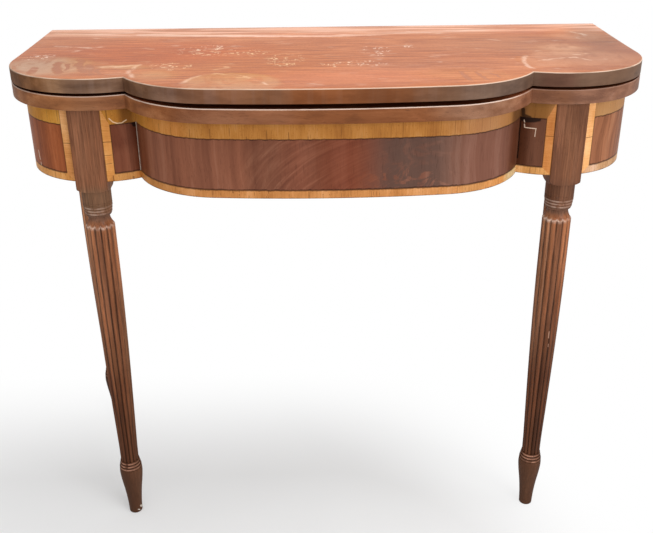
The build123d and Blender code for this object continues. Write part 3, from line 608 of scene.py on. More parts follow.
def board_finish():
    """Browner mahogany of the lower board, polished above where the leaf keeps it covered."""
    finish = Finish("board_mahogany")
    x = finish.x
    coat, streaks, pores = long_grain(finish, 0, tones((98, 56, 34), (134, 80, 48), (162, 106, 70)), 2.6)
    coat.lay(paint(66, 38, 26), pores, 0.4)
    # On the edge, the paler and bluer zones and blotches are a painted grey sheen; the edge is darker in
    # the middle of the bow
    coat.tint((1.14, 1.56, 2.50), finish.rise(x, 0.24, 0.30))
    coat.tint((1.10, 1.46, 2.15), finish.near(x, 0.195, 0.080))
    coat.tint((0.86, 0.82, 0.77), finish.rise(finish.calc("ABSOLUTE", x), 0.28, 0.20))
    coat.tint((1.08, 1.32, 1.62), finish.rise(x, -0.24, -0.34))
    coat.tint_along((
        (-0.395, 0.075, (1.36, 1.28, 1.08)),
        (-0.250, 0.055, (1.36, 1.42, 1.36)),
        (-0.155, 0.060, (1.04, 1.17, 1.50)),
        (-0.080, 0.050, (1.06, 1.16, 1.42)),
        (0.305, 0.040, (0.74, 0.66, 0.57)),
    ))
    blotches = finish.cloud((22, 22, 60), 4.0, 0.6, shift=(2, 0, 0))
    coat.tint((0.74, 0.72, 0.74), finish.rise(blotches, 0.48, 0.68, 0.0, 0.8))
    coat.tint((1.22, 1.26, 1.34), finish.rise(blotches, 0.46, 0.30, 0.0, 0.8))
    raw, _, _ = long_grain(finish, 0, tones((96, 66, 46), (124, 90, 64), (150, 114, 84)), 9.4, 1.2, 34.0)
    coat.lay(raw.colour, downward(finish))
    coat.lay(playing_face(finish), upward(finish))
    # Pale upper arris, fainter towards both ends: wear and a painted highlight
    less_right = finish.rise(x, 0.29, 0.22, 0.1, 0.75)
    less_left = finish.rise(x, -0.31, -0.25, 0.55, 1.0)
    coat.lay(paint(232, 208, 192), worn_and_highlit_arris(finish), less_right, less_left)
    return mahogany_done(coat, streaks, pores, 0.10 * MM)


def leg_light_and_shade(coat, shaft):
    """Painted light and shade on the legs: a darker right leg, pale reeds at the sides of the front legs,
    dark ones in front and near the foot.
    """
    finish = coat.finish
    x, z = finish.x, finish.z
    coat.lay(paint(62, 36, 24), finish.rise(x, 0.30, 0.36), finish.rise(z, 0.54, 0.60), 0.34)
    low_right = (finish.rise(x, 0.24, 0.28), finish.rise(z, 0.10, 0.16), finish.rise(z, 0.46, 0.27))
    coat.tint((0.74, 0.73, 0.76), *low_right)
    right_side = finish.rise(finish.facing_x, 0.35, 0.85)
    coat.tint((0.70, 0.76, 0.78), right_side, finish.rise(z, 0.46, 0.40), shaft)
    off_axis = finish.calc("SUBTRACT", x, finish.product(finish.calc("SIGN", x), FRONT_LEG[0]))
    off_middle = finish.calc("ABSOLUTE", off_axis)
    coat.tint((1.36, 1.60, 1.80), finish.rise(off_axis, -0.007, -0.014), finish.rise(z, 0.26, 0.34), shaft)
    coat.tint((1.22, 1.28, 1.30), finish.rise(off_axis, 0.004, 0.010), finish.rise(z, 0.40, 0.46), shaft)
    front_reed = finish.product(finish.rise(off_middle, 0.0065, 0.0030), shaft)
    coat.tint((0.80, 0.87, 0.97), front_reed)
    coat.tint((0.80, 0.72, 0.62), front_reed, finish.rise(z, 0.41, 0.31))
    coat.tint((0.88, 0.80, 0.75), finish.rise(z, 0.31, 0.25), shaft)
    right = finish.rise(x, 0.30, 0.33)
    beside_middle = finish.rise(off_middle, 0.006, 0.012)
    coat.tint((1.30, 1.36, 1.42), right, finish.rise(z, 0.590, 0.600), beside_middle)
    drum = finish.near(z, 0.578, 0.030)
    coat.tint((0.82, 0.86, 0.92), right, drum)
    coat.tint((0.84, 1.00, 1.22), finish.near(z, 0.551, 0.010))
    coat.tint((0.86, 1.08, 1.18), finish.rise(x, -0.24, -0.28), drum)


def worn_and_highlit_crests(coat):
    """Pale crowns of the rings and lips, worn and with a painted highlight, nicks in the right shaft and a
    chipped toe.
    """
    finish = coat.finish
    z = finish.z
    nicks = finish.lines("front", (
        (0.0013, 0.5, (0.3395, 0.3490), (0.3399, 0.3380)),
        (0.0008, 0.5, (0.3410, 0.3260), (0.3412, 0.3210)),
    ))
    coat.lay(paint(206, 160, 136), nicks, 0.6)
    # Pale crests of the rings and lips: wear, and a painted highlight that is stronger on faces turned to
    # the left
    crest = finish.out("ShaderNodeAttribute", None, "Fac", attribute_name="crest")
    patchy = finish.rise(finish.cloud((120, 120, 90)), 0.36, 0.58, 0.15, 1.0)
    highlight_from_left = finish.rise(finish.facing_x, 0.7, -0.3, 0.45, 1.0)
    worn_and_highlight_tone = finish.over(finish.rise(z, 0.2, 0.4), paint(206, 152, 126), paint(222, 192, 174))
    coat.lay(worn_and_highlight_tone, crest, patchy, highlight_from_left, finish.rise(z, 0.546, 0.553, 1.0, 0.55))
    chipped = finish.lines("front", (
        (0.0011, 0.5, (-0.3275, 0.0125), (-0.3268, 0.0085)),
        (0.0010, 0.5, (-0.3312, 0.0070), (-0.3296, 0.0050)),
    ))
    coat.lay(paint(226, 212, 196), chipped, 0.8)


def leg_finish():
    """Upright mahogany with grime and painted shade in the grooves, wear on the crowns, and painted shade
    lower down.
    """
    finish = Finish("leg_mahogany")
    z = finish.z
    coat, streaks, pores = long_grain(finish, 2, tones((92, 56, 38), (128, 82, 57), (152, 104, 76)), 4.1)
    coat.lay(paint(58, 34, 24), pores, 0.4)
    groove = finish.out("ShaderNodeAttribute", None, "Fac", attribute_name="hollow")
    shaft = finish.product(finish.rise(z, 0.555, 0.530), finish.rise(z, 0.09, 0.11))
    coat.tint((1.38, 1.26, 1.10), shaft, finish.rise(groove, 0.6, 0.1))
    reed_tone = finish.cloud((125, 125, 3.5), 2.0, shift=(0, 0, 1))
    coat.tint((0.62, 0.56, 0.52), finish.rise(reed_tone, 0.50, 0.66), shaft)
    coat.tint((1.28, 1.24, 1.20), finish.rise(reed_tone, 0.46, 0.32), shaft)
    fine = finish.cloud((560, 560, 20), 3.0, 0.6, shift=(0, 0, 3))
    coat.tint((1.34, 1.30, 1.26), finish.rise(fine, 0.50, 0.70))
    coat.tint((0.70, 0.68, 0.68), finish.rise(fine, 0.50, 0.30))
    # Darker towards the floor: a painted shade
    coat.lay(paint(66, 42, 28), finish.rise(z, 0.46, 0.02, 0.0, 0.80))
    # Painted light and shade on the legs
    leg_light_and_shade(coat, shaft)
    # Dark grooves: grime, and a painted shade in the hollows
    uneven = finish.product(finish.calc("SUBTRACT", finish.cloud((150, 150, 40)), 0.5), 0.9)
    groove_dirt_and_shade = finish.rise(finish.calc("ADD", groove, uneven), 0.55, 1.05)
    coat.lay(paint(44, 24, 16), groove_dirt_and_shade, 0.72)
    worn_and_highlit_crests(coat)
    return finish.done(coat.colour, finish.plus(0.34, groove_dirt_and_shade, 0.3), finish.relief(streaks, 0.12 * MM, 0.6),
                       Specular_IOR_Level=0.0, Coat_Weight=0.22, Coat_Roughness=0.28)


def wavy_height(finish, amount):
    """Height that wanders a little, for seams that aren't quite straight."""
    uneven = finish.calc("SUBTRACT", finish.cloud((130, 130, 60), 4.0, 0.7), 0.5)
    return finish.plus(finish.z, uneven, amount)


def crotch_figure(coat):
    """Feathered figure that leans to the right on the left, with a dark cloud right of the middle."""
    finish = coat.finish
    x, z = finish.x, finish.z
    slope = finish.plus(0.8, finish.calc("ADD", x, 0.08), 9.0)
    rake = finish.product(finish.calc("SUBTRACT", z, 0.640), slope)
    across = finish.calc("SUBTRACT", x, rake)
    plume = finish.joined(finish.product(across, 95.0), finish.product(z, 16.0), 0.0)
    figured = finish.shades(finish.noise(plume, 4.0, 0.62, 0.9),
                            tones((100, 54, 40), (130, 76, 56), (160, 104, 80)), 0.22)
    coat.lay(figured, finish.rise(x, -0.150, -0.060), finish.rise(x, 0.140, 0.060), 0.6)
    coat.tint((1.25, 1.35, 1.3), finish.rise(x, -0.06, -0.14))
    coat.tint_along((
        (0.015, 0.065, (0.78, 0.73, 0.68)),
        (-0.090, 0.040, (0.82, 0.86, 0.88)),
        (-0.160, 0.045, (0.86, 0.87, 0.89)),
        (-0.068, 0.035, (1.14, 1.20, 1.20)),
        (0.050, 0.030, (1.16, 1.20, 1.12)),
        (0.160, 0.022, (1.16, 1.24, 1.26)),
    ))
    coat.tint((0.86, 1.05, 1.2), finish.rise(x, 0.12, 0.18))
    curl = finish.cloud((40, 40, 46), 5.0, 0.6, 1.6)
    off_cloud = finish.off(x, 0.105)
    cloudy = finish.product(finish.rise(off_cloud, 0.085, 0.030), finish.rise(curl, 0.34, 0.54, 0.78, 1.0))
    open_part = finish.product(finish.rise(z, 0.656, 0.640), finish.rise(curl, 0.50, 0.40), 0.5)
    coat.lay(paint(88, 68, 60), finish.without(cloudy, open_part), 0.85)
    coat.lay(paint(140, 66, 44), finish.rise(finish.off(x, 0.030), 0.060, 0.010), 0.3)


def side_panel_tones_light_and_shade(coat):
    """Tones of the panels beside the legs, with painted light on the outer panels and painted shade on the
    inner ones, and their streaks.
    """
    finish = coat.finish
    x = finish.x
    inner_left = finish.product(finish.rise(x, -0.20, -0.25), finish.rise(x, -0.36, -0.33))
    coat.tint((0.70, 0.60, 0.52), inner_left)
    coat.tint((1.70, 1.40, 0.84), finish.rise(x, -0.34, -0.37))
    coat.tint((1.34, 1.48, 1.52), inner_left, finish.rise(finish.z, 0.665, 0.645))
    coat.tint((0.66, 0.62, 0.62), finish.rise(finish.cloud((150, 150, 5)), 0.48, 0.66), 0.7)
    coat.tint((1.47, 1.70, 1.43), finish.rise(x, 0.34, 0.37))
    coat.lay(paint(88, 62, 44), finish.rise(x, 0.20, 0.25), finish.rise(x, 0.36, 0.33), 0.5)


def cusp_damage(coat):
    """Open seam and hole at the left cusp, lifted veneer at the right one, scratch at the left corner."""
    finish = coat.finish
    split = finish.rise(finish.cloud((1, 1, 60), 2.0), 0.30, 0.46, 0.3, 1.0)
    seam = finish.near(finish.x, -0.2687, 0.0007)
    coat.lay(paint(240, 224, 206), seam, finish.rise(finish.x, -0.20, -0.25), split, 0.85)
    holes = finish.lines("front", (
        (0.0030, 0.5, (-0.2722, 0.6895), (-0.2712, 0.6862)),
        (0.0046, 0.5, (0.2690, 0.6885), (0.2755, 0.6862), (0.2850, 0.6872), (0.2915, 0.6893)),
        (0.0011, 0.5, (0.2692, 0.6880), (0.2694, 0.6300)),
    ))
    coat.lay(paint(26, 14, 10), holes, 0.9)
    chips = finish.lines("front", (
        (0.0009, 0.5, (0.2742, 0.6800), (0.2750, 0.6755), (0.2898, 0.6753)),
        (0.0006, 0.5, (0.2896, 0.6750), (0.2890, 0.6640)),
        (0.0007, 0.5, (0.2735, 0.6862), (0.2742, 0.6830)),
        (0.0009, 0.5, (-0.4185, 0.6415), (-0.4172, 0.6280)),
        (0.0008, 0.5, (-0.4168, 0.6240), (-0.4165, 0.6120)),
    ))
    coat.lay(paint(236, 208, 184), chips, 0.85)


def panel_finish(name, figured):
    """Veneer of the apron: upright grain, with a crotch figure in the middle of the bowed panel."""
    finish = Finish(name)
    wood = tones((98, 54, 40), (134, 80, 60), (166, 112, 90))
    coat, streaks, pores = long_grain(finish, 2, wood, 7.7, 1.3, 40.0, 0.17)
    if figured:
        crotch_figure(coat)
    else:
        side_panel_tones_light_and_shade(coat)
    coat.lay(paint(58, 32, 24), pores, 0.35)
    # Painted shade in the two cusps, and dark glue lines along the bands and strips
    coat.tint_along(((-0.262, 0.018, (0.58, 0.44, 0.34)), (0.266, 0.026, (0.50, 0.38, 0.28))))
    height = wavy_height(finish, 4.5 * MM)
    span = finish.calc("ABSOLUTE", finish.x)
    glue = finish.most(
        finish.near(height, PANEL_TOP, 1.2 * MM),
        finish.near(height, PANEL_BOTTOM, 1.6 * MM),
        finish.seams(span, STRIP_SIDES, 0.9 * MM),
    )
    coat.lay(paint(48, 28, 18), glue, 0.75)
    if not figured:
        cusp_damage(coat)
    return mahogany_done(coat, streaks, pores, 0.08 * MM)


def satinwood(finish, grain_scale, wood):
    """Streaked and speckled satinwood: its coat and its grain."""
    grain = finish.cloud(grain_scale, 3.0, 0.6)
    broad = finish.cloud((30, 30, 12))
    mixed = finish.plus(finish.product(grain, 0.35), broad, 0.65)
    coat = Coat(finish, finish.shades(mixed, wood, 0.16))
    specks = finish.rise(finish.cloud((520, 520, 360), 2.0), 0.60, 0.72, 0.0, 0.6)
    coat.tint((0.76, 0.66, 0.54), specks)
    return coat, grain


def satinwood_done(coat, grain, cracks, glue):
    """Satinwood with its shrinkage cracks and glue lines darkened."""
    finish = coat.finish
    coat.lay(paint(92, 54, 26), cracks, 0.65)
    coat.lay(paint(70, 38, 20), glue, 0.7)
    normal = finish.relief(finish.calc("SUBTRACT", grain, cracks), 0.08 * MM, 0.6)
    return finish.done(coat.colour, finish.plus(0.34, grain, 0.12), normal, Specular_IOR_Level=0.1)


def strip_finish():
    """Satinwood strips beside the front legs, with grain and cracks across them."""
    finish = Finish("strip_satinwood")
    x = finish.x
    span = finish.calc("ABSOLUTE", x)
    coat, grain = satinwood(finish, (40, 40, 900), tones((186, 116, 54), (212, 144, 76), (232, 172, 106)))
    coat.tint((1.18, 1.24, 1.55), finish.rise(span, 0.33, 0.36))
    coat.tint((0.92, 0.84, 0.88), finish.rise(x, 0.26, 0.29), finish.rise(x, 0.34, 0.32))
    cracks = finish.lines("front", (
        (0.0010, 0.6, (-0.3140, 0.6662), (-0.2960, 0.6666)),
        (0.0006, 0.6, (-0.3140, 0.6470), (-0.3040, 0.6474)),
        (0.0006, 0.6, (-0.3130, 0.6345), (-0.3050, 0.6349)),
        (0.0008, 0.6, (-0.3710, 0.6636), (-0.3590, 0.6640)),
        (0.0008, 0.6, (0.3020, 0.6660), (0.3140, 0.6655)),
        (0.0008, 0.6, (0.3600, 0.6614), (0.3710, 0.6619)),
    ))
    glue = finish.most(finish.seams(span, STRIP_SIDES, 1.0 * MM), finish.seams(span, DIE_SIDES, 1.2 * MM))
    return satinwood_done(coat, grain, cracks, glue)


def shrinkage_cracks(finish, span):
    """Upright cracks spread round the apron, with finer and shorter ones between them."""

    def splits(run):
        return finish.out("ShaderNodeTexVoronoi", {"W": run, "Scale": 1.0}, "Distance",
                          feature="DISTANCE_TO_EDGE", voronoi_dimensions="1D")

    run = finish.plus(finish.plus(finish.product(span, 48.0), finish.y, 38.0), finish.x, 17.0)
    rare = finish.rise(finish.cloud((30, 30, 60), 2.0), 0.44, 0.56)
    long_ones = finish.product(finish.rise(splits(run), 0.024, 0.008), rare)
    short = finish.rise(finish.cloud((60, 60, 170), 2.0), 0.54, 0.62)
    fine = finish.product(finish.rise(splits(finish.product(run, 3.3)), 0.07, 0.03), short)
    return finish.most(long_ones, finish.product(fine, finish.rise(finish.z, 0.66, 0.64, 0.35, 0.9)))


def band_finish(name, wood):
    """Cross-banded satinwood, with lifted and broken ends in the upper band."""
    finish = Finish(name)
    x, z = finish.x, finish.z
    span = finish.calc("ABSOLUTE", x)
    coat, grain = satinwood(finish, (1100, 1100, 40), wood)
    coat.lay(paint(164, 116, 78), finish.rise(x, 0.12, 0.24), finish.rise(z, 0.64, 0.69), 0.6)
    low_band = finish.rise(z, 0.66, 0.63)
    high_band = finish.rest(low_band)
    middle = finish.rise(span, 0.26, 0.19)
    coat.tint((0.94, 0.95, 1.36), middle, high_band)
    coat.tint((1.0, 1.05, 1.38), middle, low_band)
    coat.tint_along((
        (-0.410, 0.075, (1.27, 1.44, 1.74)),
        (0.410, 0.075, (1.00, 1.43, 3.20)),
        (0.285, 0.050, (1.22, 1.50, 2.10)),
        (-0.290, 0.024, (1.00, 1.16, 1.46)),
        (0.192, 0.026, (1.12, 1.28, 1.50)),
        (0.256, 0.018, (0.90, 1.30, 1.90)),
    ), low_band)
    # The darker zones of the upper band at -0.280, 0.262 and 0.292 are painted shade in the cusps
    coat.tint_along((
        (-0.405, 0.050, (1.24, 1.28, 1.02)),
        (0.395, 0.040, (1.06, 1.17, 1.45)),
        (-0.222, 0.045, (1.22, 1.15, 1.20)),
        (-0.280, 0.014, (0.45, 0.38, 0.28)),
        (0.262, 0.020, (0.40, 0.38, 0.42)),
        (0.292, 0.022, (0.68, 0.64, 0.50)),
    ), high_band)
    lifted = finish.drawn("front", 0.0010, 0.6, (-0.3022, 0.6995), (-0.2980, 0.6945), (-0.2925, 0.6918),
                          (-0.2870, 0.6918), (-0.2805, 0.6950))
    coat.lay(paint(244, 214, 176), lifted, 0.8)
    broken = finish.drawn("front", 0.0034, 0.6, (0.2712, 0.7010), (0.2722, 0.6930), (0.2800, 0.6905))
    coat.lay(paint(40, 22, 12), broken, 0.85)
    height = wavy_height(finish, 3.0 * MM)
    glue = finish.most(
        finish.near(height, UPPER_BAND_BOTTOM, 1.1 * MM),
        finish.near(height, LOWER_BAND_TOP, 1.3 * MM),
        finish.near(z, FIXED_UNDER, 1.4 * MM),
        finish.near(height, APRON_BOTTOM, 1.2 * MM),
    )
    return satinwood_done(coat, grain, shrinkage_cracks(finish, span), glue)


def bare_wood_finish(name, along, wood, seed):
    """Unpolished wood of the frame, with saw marks and stains."""
    finish = Finish(name)
    coat, streaks, _ = long_grain(finish, along, wood, seed, 1.2, 30.0)
    coat.lay(paint(104, 74, 48), finish.rise(finish.cloud((9, 9, 9), 4.0), 0.45, 0.75), 0.45)
    saw_marks = finish.calc("ADD", streaks, finish.cloud((60, 60, 300), 2.0))
    return finish.done(coat.colour, 0.72, finish.relief(saw_marks, 0.25 * MM, 0.6))


def metal_finish(name, bright, dull, rough):
    """Old metal, dulled in patches."""
    finish = Finish(name)
    tarnish = finish.rise(finish.cloud((95, 95, 95), 5.0), 0.32, 0.72)
    colour = finish.over(tarnish, bright, dull)
    lines = finish.relief(finish.cloud((900, 60, 900), 2.0), 0.03 * MM, 0.5)
    return finish.done(colour, finish.plus(rough, tarnish, 0.25), lines, Metallic=1.0)


leaf_mahogany = leaf_finish()
board_mahogany = board_finish()
leg_mahogany = leg_finish()
flame_mahogany = panel_finish("flame_mahogany", True)
panel_mahogany = panel_finish("panel_mahogany", False)
# The upper band's tones are darker than the lower band's: a painted shade under the top
upper_satinwood = band_finish("upper_satinwood", tones((166, 104, 38), (192, 128, 50), (210, 150, 74)))
lower_satinwood = band_finish("lower_satinwood", tones((176, 110, 48), (206, 136, 68), (226, 160, 94)))
strip_satinwood = strip_finish()
pine = bare_wood_finish("pine", 0, tones((146, 108, 66), (178, 138, 90), (200, 162, 112)), 3.3)
side_pine = bare_wood_finish("side_pine", 1, tones((142, 104, 64), (172, 132, 86), (196, 158, 110)), 5.9)
birch = bare_wood_finish("birch", 0, tones((150, 112, 72), (184, 146, 100), (206, 172, 126)), 8.2)
brass = metal_finish("brass", paint(198, 156, 84), paint(150, 112, 60), 0.32)
iron = metal_finish("iron", paint(112, 106, 100), paint(74, 58, 46), 0.45)


def set_out(name, data):
    """Object in the scene that holds a mesh, a lamp or a camera."""
    thing = bpy.data.objects.new(name, data)
    bpy.context.scene.collection.objects.link(thing)
    return thing


def new_piece(name, mesh, finish, body, replaced):
    """Finished piece that rides on a body and stands for a node."""
    piece = set_out(name, mesh)
    mesh.materials.clear()
    mesh.materials.append(finish)
    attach(piece, body)
    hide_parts(replaced)


def mesh_of(build, name):
    """Mesh made from what has been built, which is then let go."""
    mesh = bpy.data.meshes.new(name)
    build.to_mesh(mesh)
    build.free()
    return mesh


def evaluated_mesh(blank, name):
    """Plain mesh of a blank as its modifiers leave it. The blank is removed."""
    bpy.context.view_layer.update()
    graph = bpy.context.evaluated_depsgraph_get()
    mesh = bpy.data.meshes.new_from_object(blank.evaluated_get(graph))
    mesh.name = name
    bpy.data.objects.remove(blank)
    return mesh


def mark_sharp(mesh, degrees):
    """Smooth faces, with a crease wherever two of them meet at more than an angle."""
    build = bmesh.new()
    build.from_mesh(mesh)
    for face in build.faces:
        face.smooth = True
    for edge in build.edges:
        if len(edge.link_faces) == 2 and edge.calc_face_angle() > math.radians(degrees):
            edge.smooth = False
    build.to_mesh(mesh)
    build.free()


def polar(centre, radius, angle):
    return (centre[0] + radius * math.cos(angle), centre[1] + radius * math.sin(angle))


def arc(centre, radius, start, end, count):
    """Points on an arc, without its last."""
    return [polar(centre, radius, start + (end - start) * index / count) for index in range(count)]


# Centres of the arcs: a lobe, the long bow, and the short arc from its end to the cusp
lobe = (LOBE_X, LOBE_Y)
bow = (0.0, FRONT_Y + BOW_RADIUS)
cusp = polar(lobe, LOBE_RADIUS, CUSP_DIRECTION)
cusp_distance = math.dist(bow, cusp)
end_distance = BOW_RADIUS - BOW_END_RADIUS
cosine = (end_distance**2 + cusp_distance**2 - BOW_END_RADIUS**2) / (2 * end_distance * cusp_distance)
bow_end_angle = math.atan2(cusp[1] - bow[1], cusp[0] - bow[0]) - math.acos(cosine)
bow_end = polar(bow, end_distance, bow_end_angle)


def plan_outline(inset):
    """Outline of the top in plan, drawn in by inset, from the rear right corner round the front."""
    lobe_radius, end_radius = LOBE_RADIUS - inset, BOW_END_RADIUS - inset
    spacing = math.dist(lobe, bow_end)
    along = (lobe_radius**2 - end_radius**2 + spacing**2) / (2 * spacing)
    toward = math.atan2(bow_end[1] - lobe[1], bow_end[0] - lobe[0])
    cusp_angle = (toward + math.acos(along / lobe_radius)) % math.tau - math.tau
    corner = polar(lobe, lobe_radius, cusp_angle)
    corner_angle = math.atan2(corner[1] - bow_end[1], corner[0] - bow_end[0])
    side_x, rear_y = HALF_WIDTH - inset, REAR_Y - inset
    right = [(side_x, rear_y + (LOBE_Y - rear_y) * step / SIDE_STEPS) for step in range(SIDE_STEPS)]
    right += arc(lobe, lobe_radius, 0.0, cusp_angle, LOBE_STEPS)
    right += arc(bow_end, end_radius, corner_angle, bow_end_angle, BOW_END_STEPS)
    right += arc(bow, BOW_RADIUS - inset, bow_end_angle, -math.pi / 2, BOW_STEPS)
    left = [(-x, y) for x, y in reversed(right)]
    rear = [(-side_x + 2 * side_x * step / REAR_STEPS, rear_y) for step in range(1, REAR_STEPS)]
    return right + [(0.0, FRONT_Y + inset)] + left + rear


def inside(point, outline):
    """Whether a point lies within a closed outline."""
    crossings = 0
    for (x1, y1), (x2, y2) in zip(outline, outline[1:] + outline[:1]):
        if (y1 > point[1]) != (y2 > point[1]) and point[0] < x1 + (point[1] - y1) * (x2 - x1) / (y2 - y1):
            crossings += 1
    return crossings % 2 == 1


def leaf_warp(y):
    """Height to which the old leaf has lifted, in front of its flat rear part."""
    run = max(0.0, WARP_START_Y - y)
    return WARP_RADIUS - math.sqrt(WARP_RADIUS**2 - run**2)


def no_warp(y):
    return 0.0


def net_face(build, loop, inset, level, warp, up):
    """Fills a loop of the board with an even net of points."""
    outline = plan_outline(inset)
    core = plan_outline(inset + NET_MARGIN)
    points = list(outline)
    columns = int(HALF_WIDTH / NET)
    for column in range(-columns, columns + 1):
        for row in range(int((REAR_Y - FRONT_Y) / NET) + 1):
            point = (column * NET, REAR_Y - row * NET)
            if inside(point, core):
                points.append(point)
    points = [Vector(point) for point in points]
    edges = [(index, (index + 1) % len(outline)) for index in range(len(outline))]
    only_inside, tolerance = 1, 1e-7
    found, _, faces, origin, _, _ = delaunay_2d_cdt(points, edges, [], only_inside, tolerance)
    made = []
    for place, sources in zip(found, origin):
        first = min(sources)
        if first < len(loop):
            made.append(loop[first])
        else:
            made.append(build.verts.new((place.x, place.y, level + warp(place.y))))
    for face in faces:
        corners = [made[index] for index in face]
        build.faces.new(corners if up else list(reversed(corners)))


def board_mesh(name, low, high, warp):
    """Board with rounded arrises all round and an even net of points over its faces."""
    build = bmesh.new()
    turns = [math.pi / 2 * step / ARRIS_STEPS for step in range(ARRIS_STEPS + 1)]
    rows = []
    for turn in turns:
        rows.append((LOWER_ARRIS * (1 - math.sin(turn)), low + LOWER_ARRIS * (1 - math.cos(turn))))
    for turn in turns:
        rows.append((UPPER_ARRIS * (1 - math.cos(turn)), high - UPPER_ARRIS * (1 - math.sin(turn))))
    loops = []
    for inset, level in rows:
        loops.append([build.verts.new((x, y, level + warp(y))) for x, y in plan_outline(inset)])
    for lower, upper in zip(loops, loops[1:]):
        count = len(lower)
        for index in range(count):
            after = (index + 1) % count
            build.faces.new((lower[after], lower[index], upper[index], upper[after]))
    net_face(build, loops[0], rows[0][0], low, warp, False)
    net_face(build, loops[-1], rows[-1][0], high, warp, True)
    bmesh.ops.recalc_face_normals(build, faces=build.faces)
    for face in build.faces:
        face.smooth = True
    return mesh_of(build, name)


def plate_pockets(low, high):
    """Cutter for the recesses of the two hinge plates in one board."""
    build = bmesh.new()
    size = Vector((2 * OVERRUN, PLATE_LENGTH + OVERRUN, high - low))
    for side in (-1, 1):
        across = side * (HALF_WIDTH - PLATE_DEPTH + size.x / 2)
        centre = Vector((across, REAR_Y - PLATE_LENGTH + size.y / 2, (low + high) / 2))
        place = Matrix.Translation(centre) @ Matrix.Diagonal((*size, 1))
        bmesh.ops.create_cube(build, size=1.0, matrix=place)
    return mesh_of(build, "plate_pockets")


def eye_pockets():
    """Cutter for the round recesses of the hinge eyes."""
    build = bmesh.new()
    depth = 2 * OVERRUN
    for side in (-1, 1):
        place = Matrix.Translation((side * (HALF_WIDTH - EYE_DEPTH + depth / 2), PIN_Y, PIN_LEVEL))
        bmesh.ops.create_cone(
            build, cap_ends=True, segments=EYE_FACES, radius1=EYE_RADIUS, radius2=EYE_RADIUS, depth=depth,
            matrix=place @ Matrix.Rotation(math.pi / 2, 4, "Y"),
        )
    return mesh_of(build, "eye_pockets")


def board(node, low, high, warp, pocket_low, pocket_high, finish, body):
    """One of the two boards, cut out for its hinges."""
    name = node + "_board"
    blank = set_out(name + "_blank", board_mesh(name, low, high, warp))
    cutters = [set_out("cutter", mesh) for mesh in (plate_pockets(pocket_low, pocket_high), eye_pockets())]
    for cutter in cutters:
        cut = blank.modifiers.new("cut", "BOOLEAN")
        cut.operation = "DIFFERENCE"
        cut.solver = "EXACT"
        cut.object = cutter
    mesh = evaluated_mesh(blank, name)
    for cutter in cutters:
        bpy.data.objects.remove(cutter)
    mark_sharp(mesh, degrees=40)
    new_piece(name, mesh, finish, body, node)


board("leaf", LEAF_UNDER, LEAF_TOP, leaf_warp, LEAF_UNDER - OVERRUN, LEAF_UNDER + PLATE_HEIGHT,
      leaf_mahogany, "leaf")
board("fixed_top", FIXED_UNDER, FIXED_TOP, no_warp, FIXED_TOP - PLATE_HEIGHT, FIXED_TOP + OVERRUN,
      board_mahogany, "table")


def along_stations(stations, level):
    """Radius at a level, smoothly through stations of level and radius in millimetres."""
    for index, ((upper, first), (lower, second)) in enumerate(zip(stations, stations[1:])):
        if level < lower and index < len(stations) - 2:
            continue
        span = upper - lower
        before = stations[index - 1] if index else (upper, first)
        after = stations[index + 2] if index + 2 < len(stations) else (lower, second)
        start_slope = (second - before[1]) / (before[0] - lower) * span
        end_slope = (after[1] - first) / (upper - after[0]) * span
        t = (upper - level) / span
        blend = (2 * t**3 - 3 * t**2 + 1, t**3 - 2 * t**2 + t, 3 * t**2 - 2 * t**3, t**3 - t**2)
        parts = (first, start_slope, second, end_slope)
        return sum(share * part for share, part in zip(blend, parts))


def ring_rows(radius, top, height, step):
    """Half-round rings, one under the other, whose radius changes by step from one to the next."""
    rows = []
    for ring in range(RING_COUNT):
        for point in range(RING_STEPS + 1):
            turn = math.pi * point / RING_STEPS
            level = top - height * (ring + (1 - math.cos(turn)) / 2)
            rows.append({
                "radius": radius + ring * step + RING_BULGE * math.sin(turn),
                "level": level,
                "hollow": 1 - math.sin(turn),
                "crest": 0.85 * math.sin(turn) ** 8,
            })
    return rows


def head_rows(top):
    """The square die and the shoulder that rounds it into the drum."""
    rows = [{"radius": 0, "level": top}]
    rows += [{"level": level} for level in (top, top - 1 * MM, *DIE_LEVELS)]
    # Even the first share is above nothing, which marks the row as one of the shoulder
    for step in range(SHOULDER_STEPS + 1):
        rows.append({"level": DIE_BOTTOM, "shoulder": 0.001 + 0.999 * step / SHOULDER_STEPS})
    return rows


def drum_rows():
    """The drum with its two grooves, its rings and the neck under them."""
    rows = []
    for level in GROOVE_LEVELS:
        for rise, share in ((3, 0), (1, 1), (-1, 1), (-3, 0)):
            rows.append({
                "radius": DRUM_RADIUS - share * GROOVE_DEPTH,
                "level": level + rise * GROOVE_SLOPE,
                "hollow": 0.7 * share,
            })
    rows.append({"radius": DRUM_RADIUS, "level": RING_TOP + 0.2 * MM})
    rows += ring_rows(DRUM_RADIUS - RING_BULGE, RING_TOP, RING_HEIGHT, RING_STEP)
    last_radius = DRUM_RADIUS - RING_BULGE + (RING_COUNT - 1) * RING_STEP
    for step in range(1, NECK_STEPS + 1):
        turn = math.pi / 2 * step / NECK_STEPS
        rows.append({
            "radius": NECK_RADIUS + (last_radius - NECK_RADIUS) * math.cos(turn),
            "level": NECK_TOP - (NECK_TOP - COVE_TOP) * math.sin(turn),
            "hollow": 0.3 + 0.5 * step / NECK_STEPS,
        })
    return rows


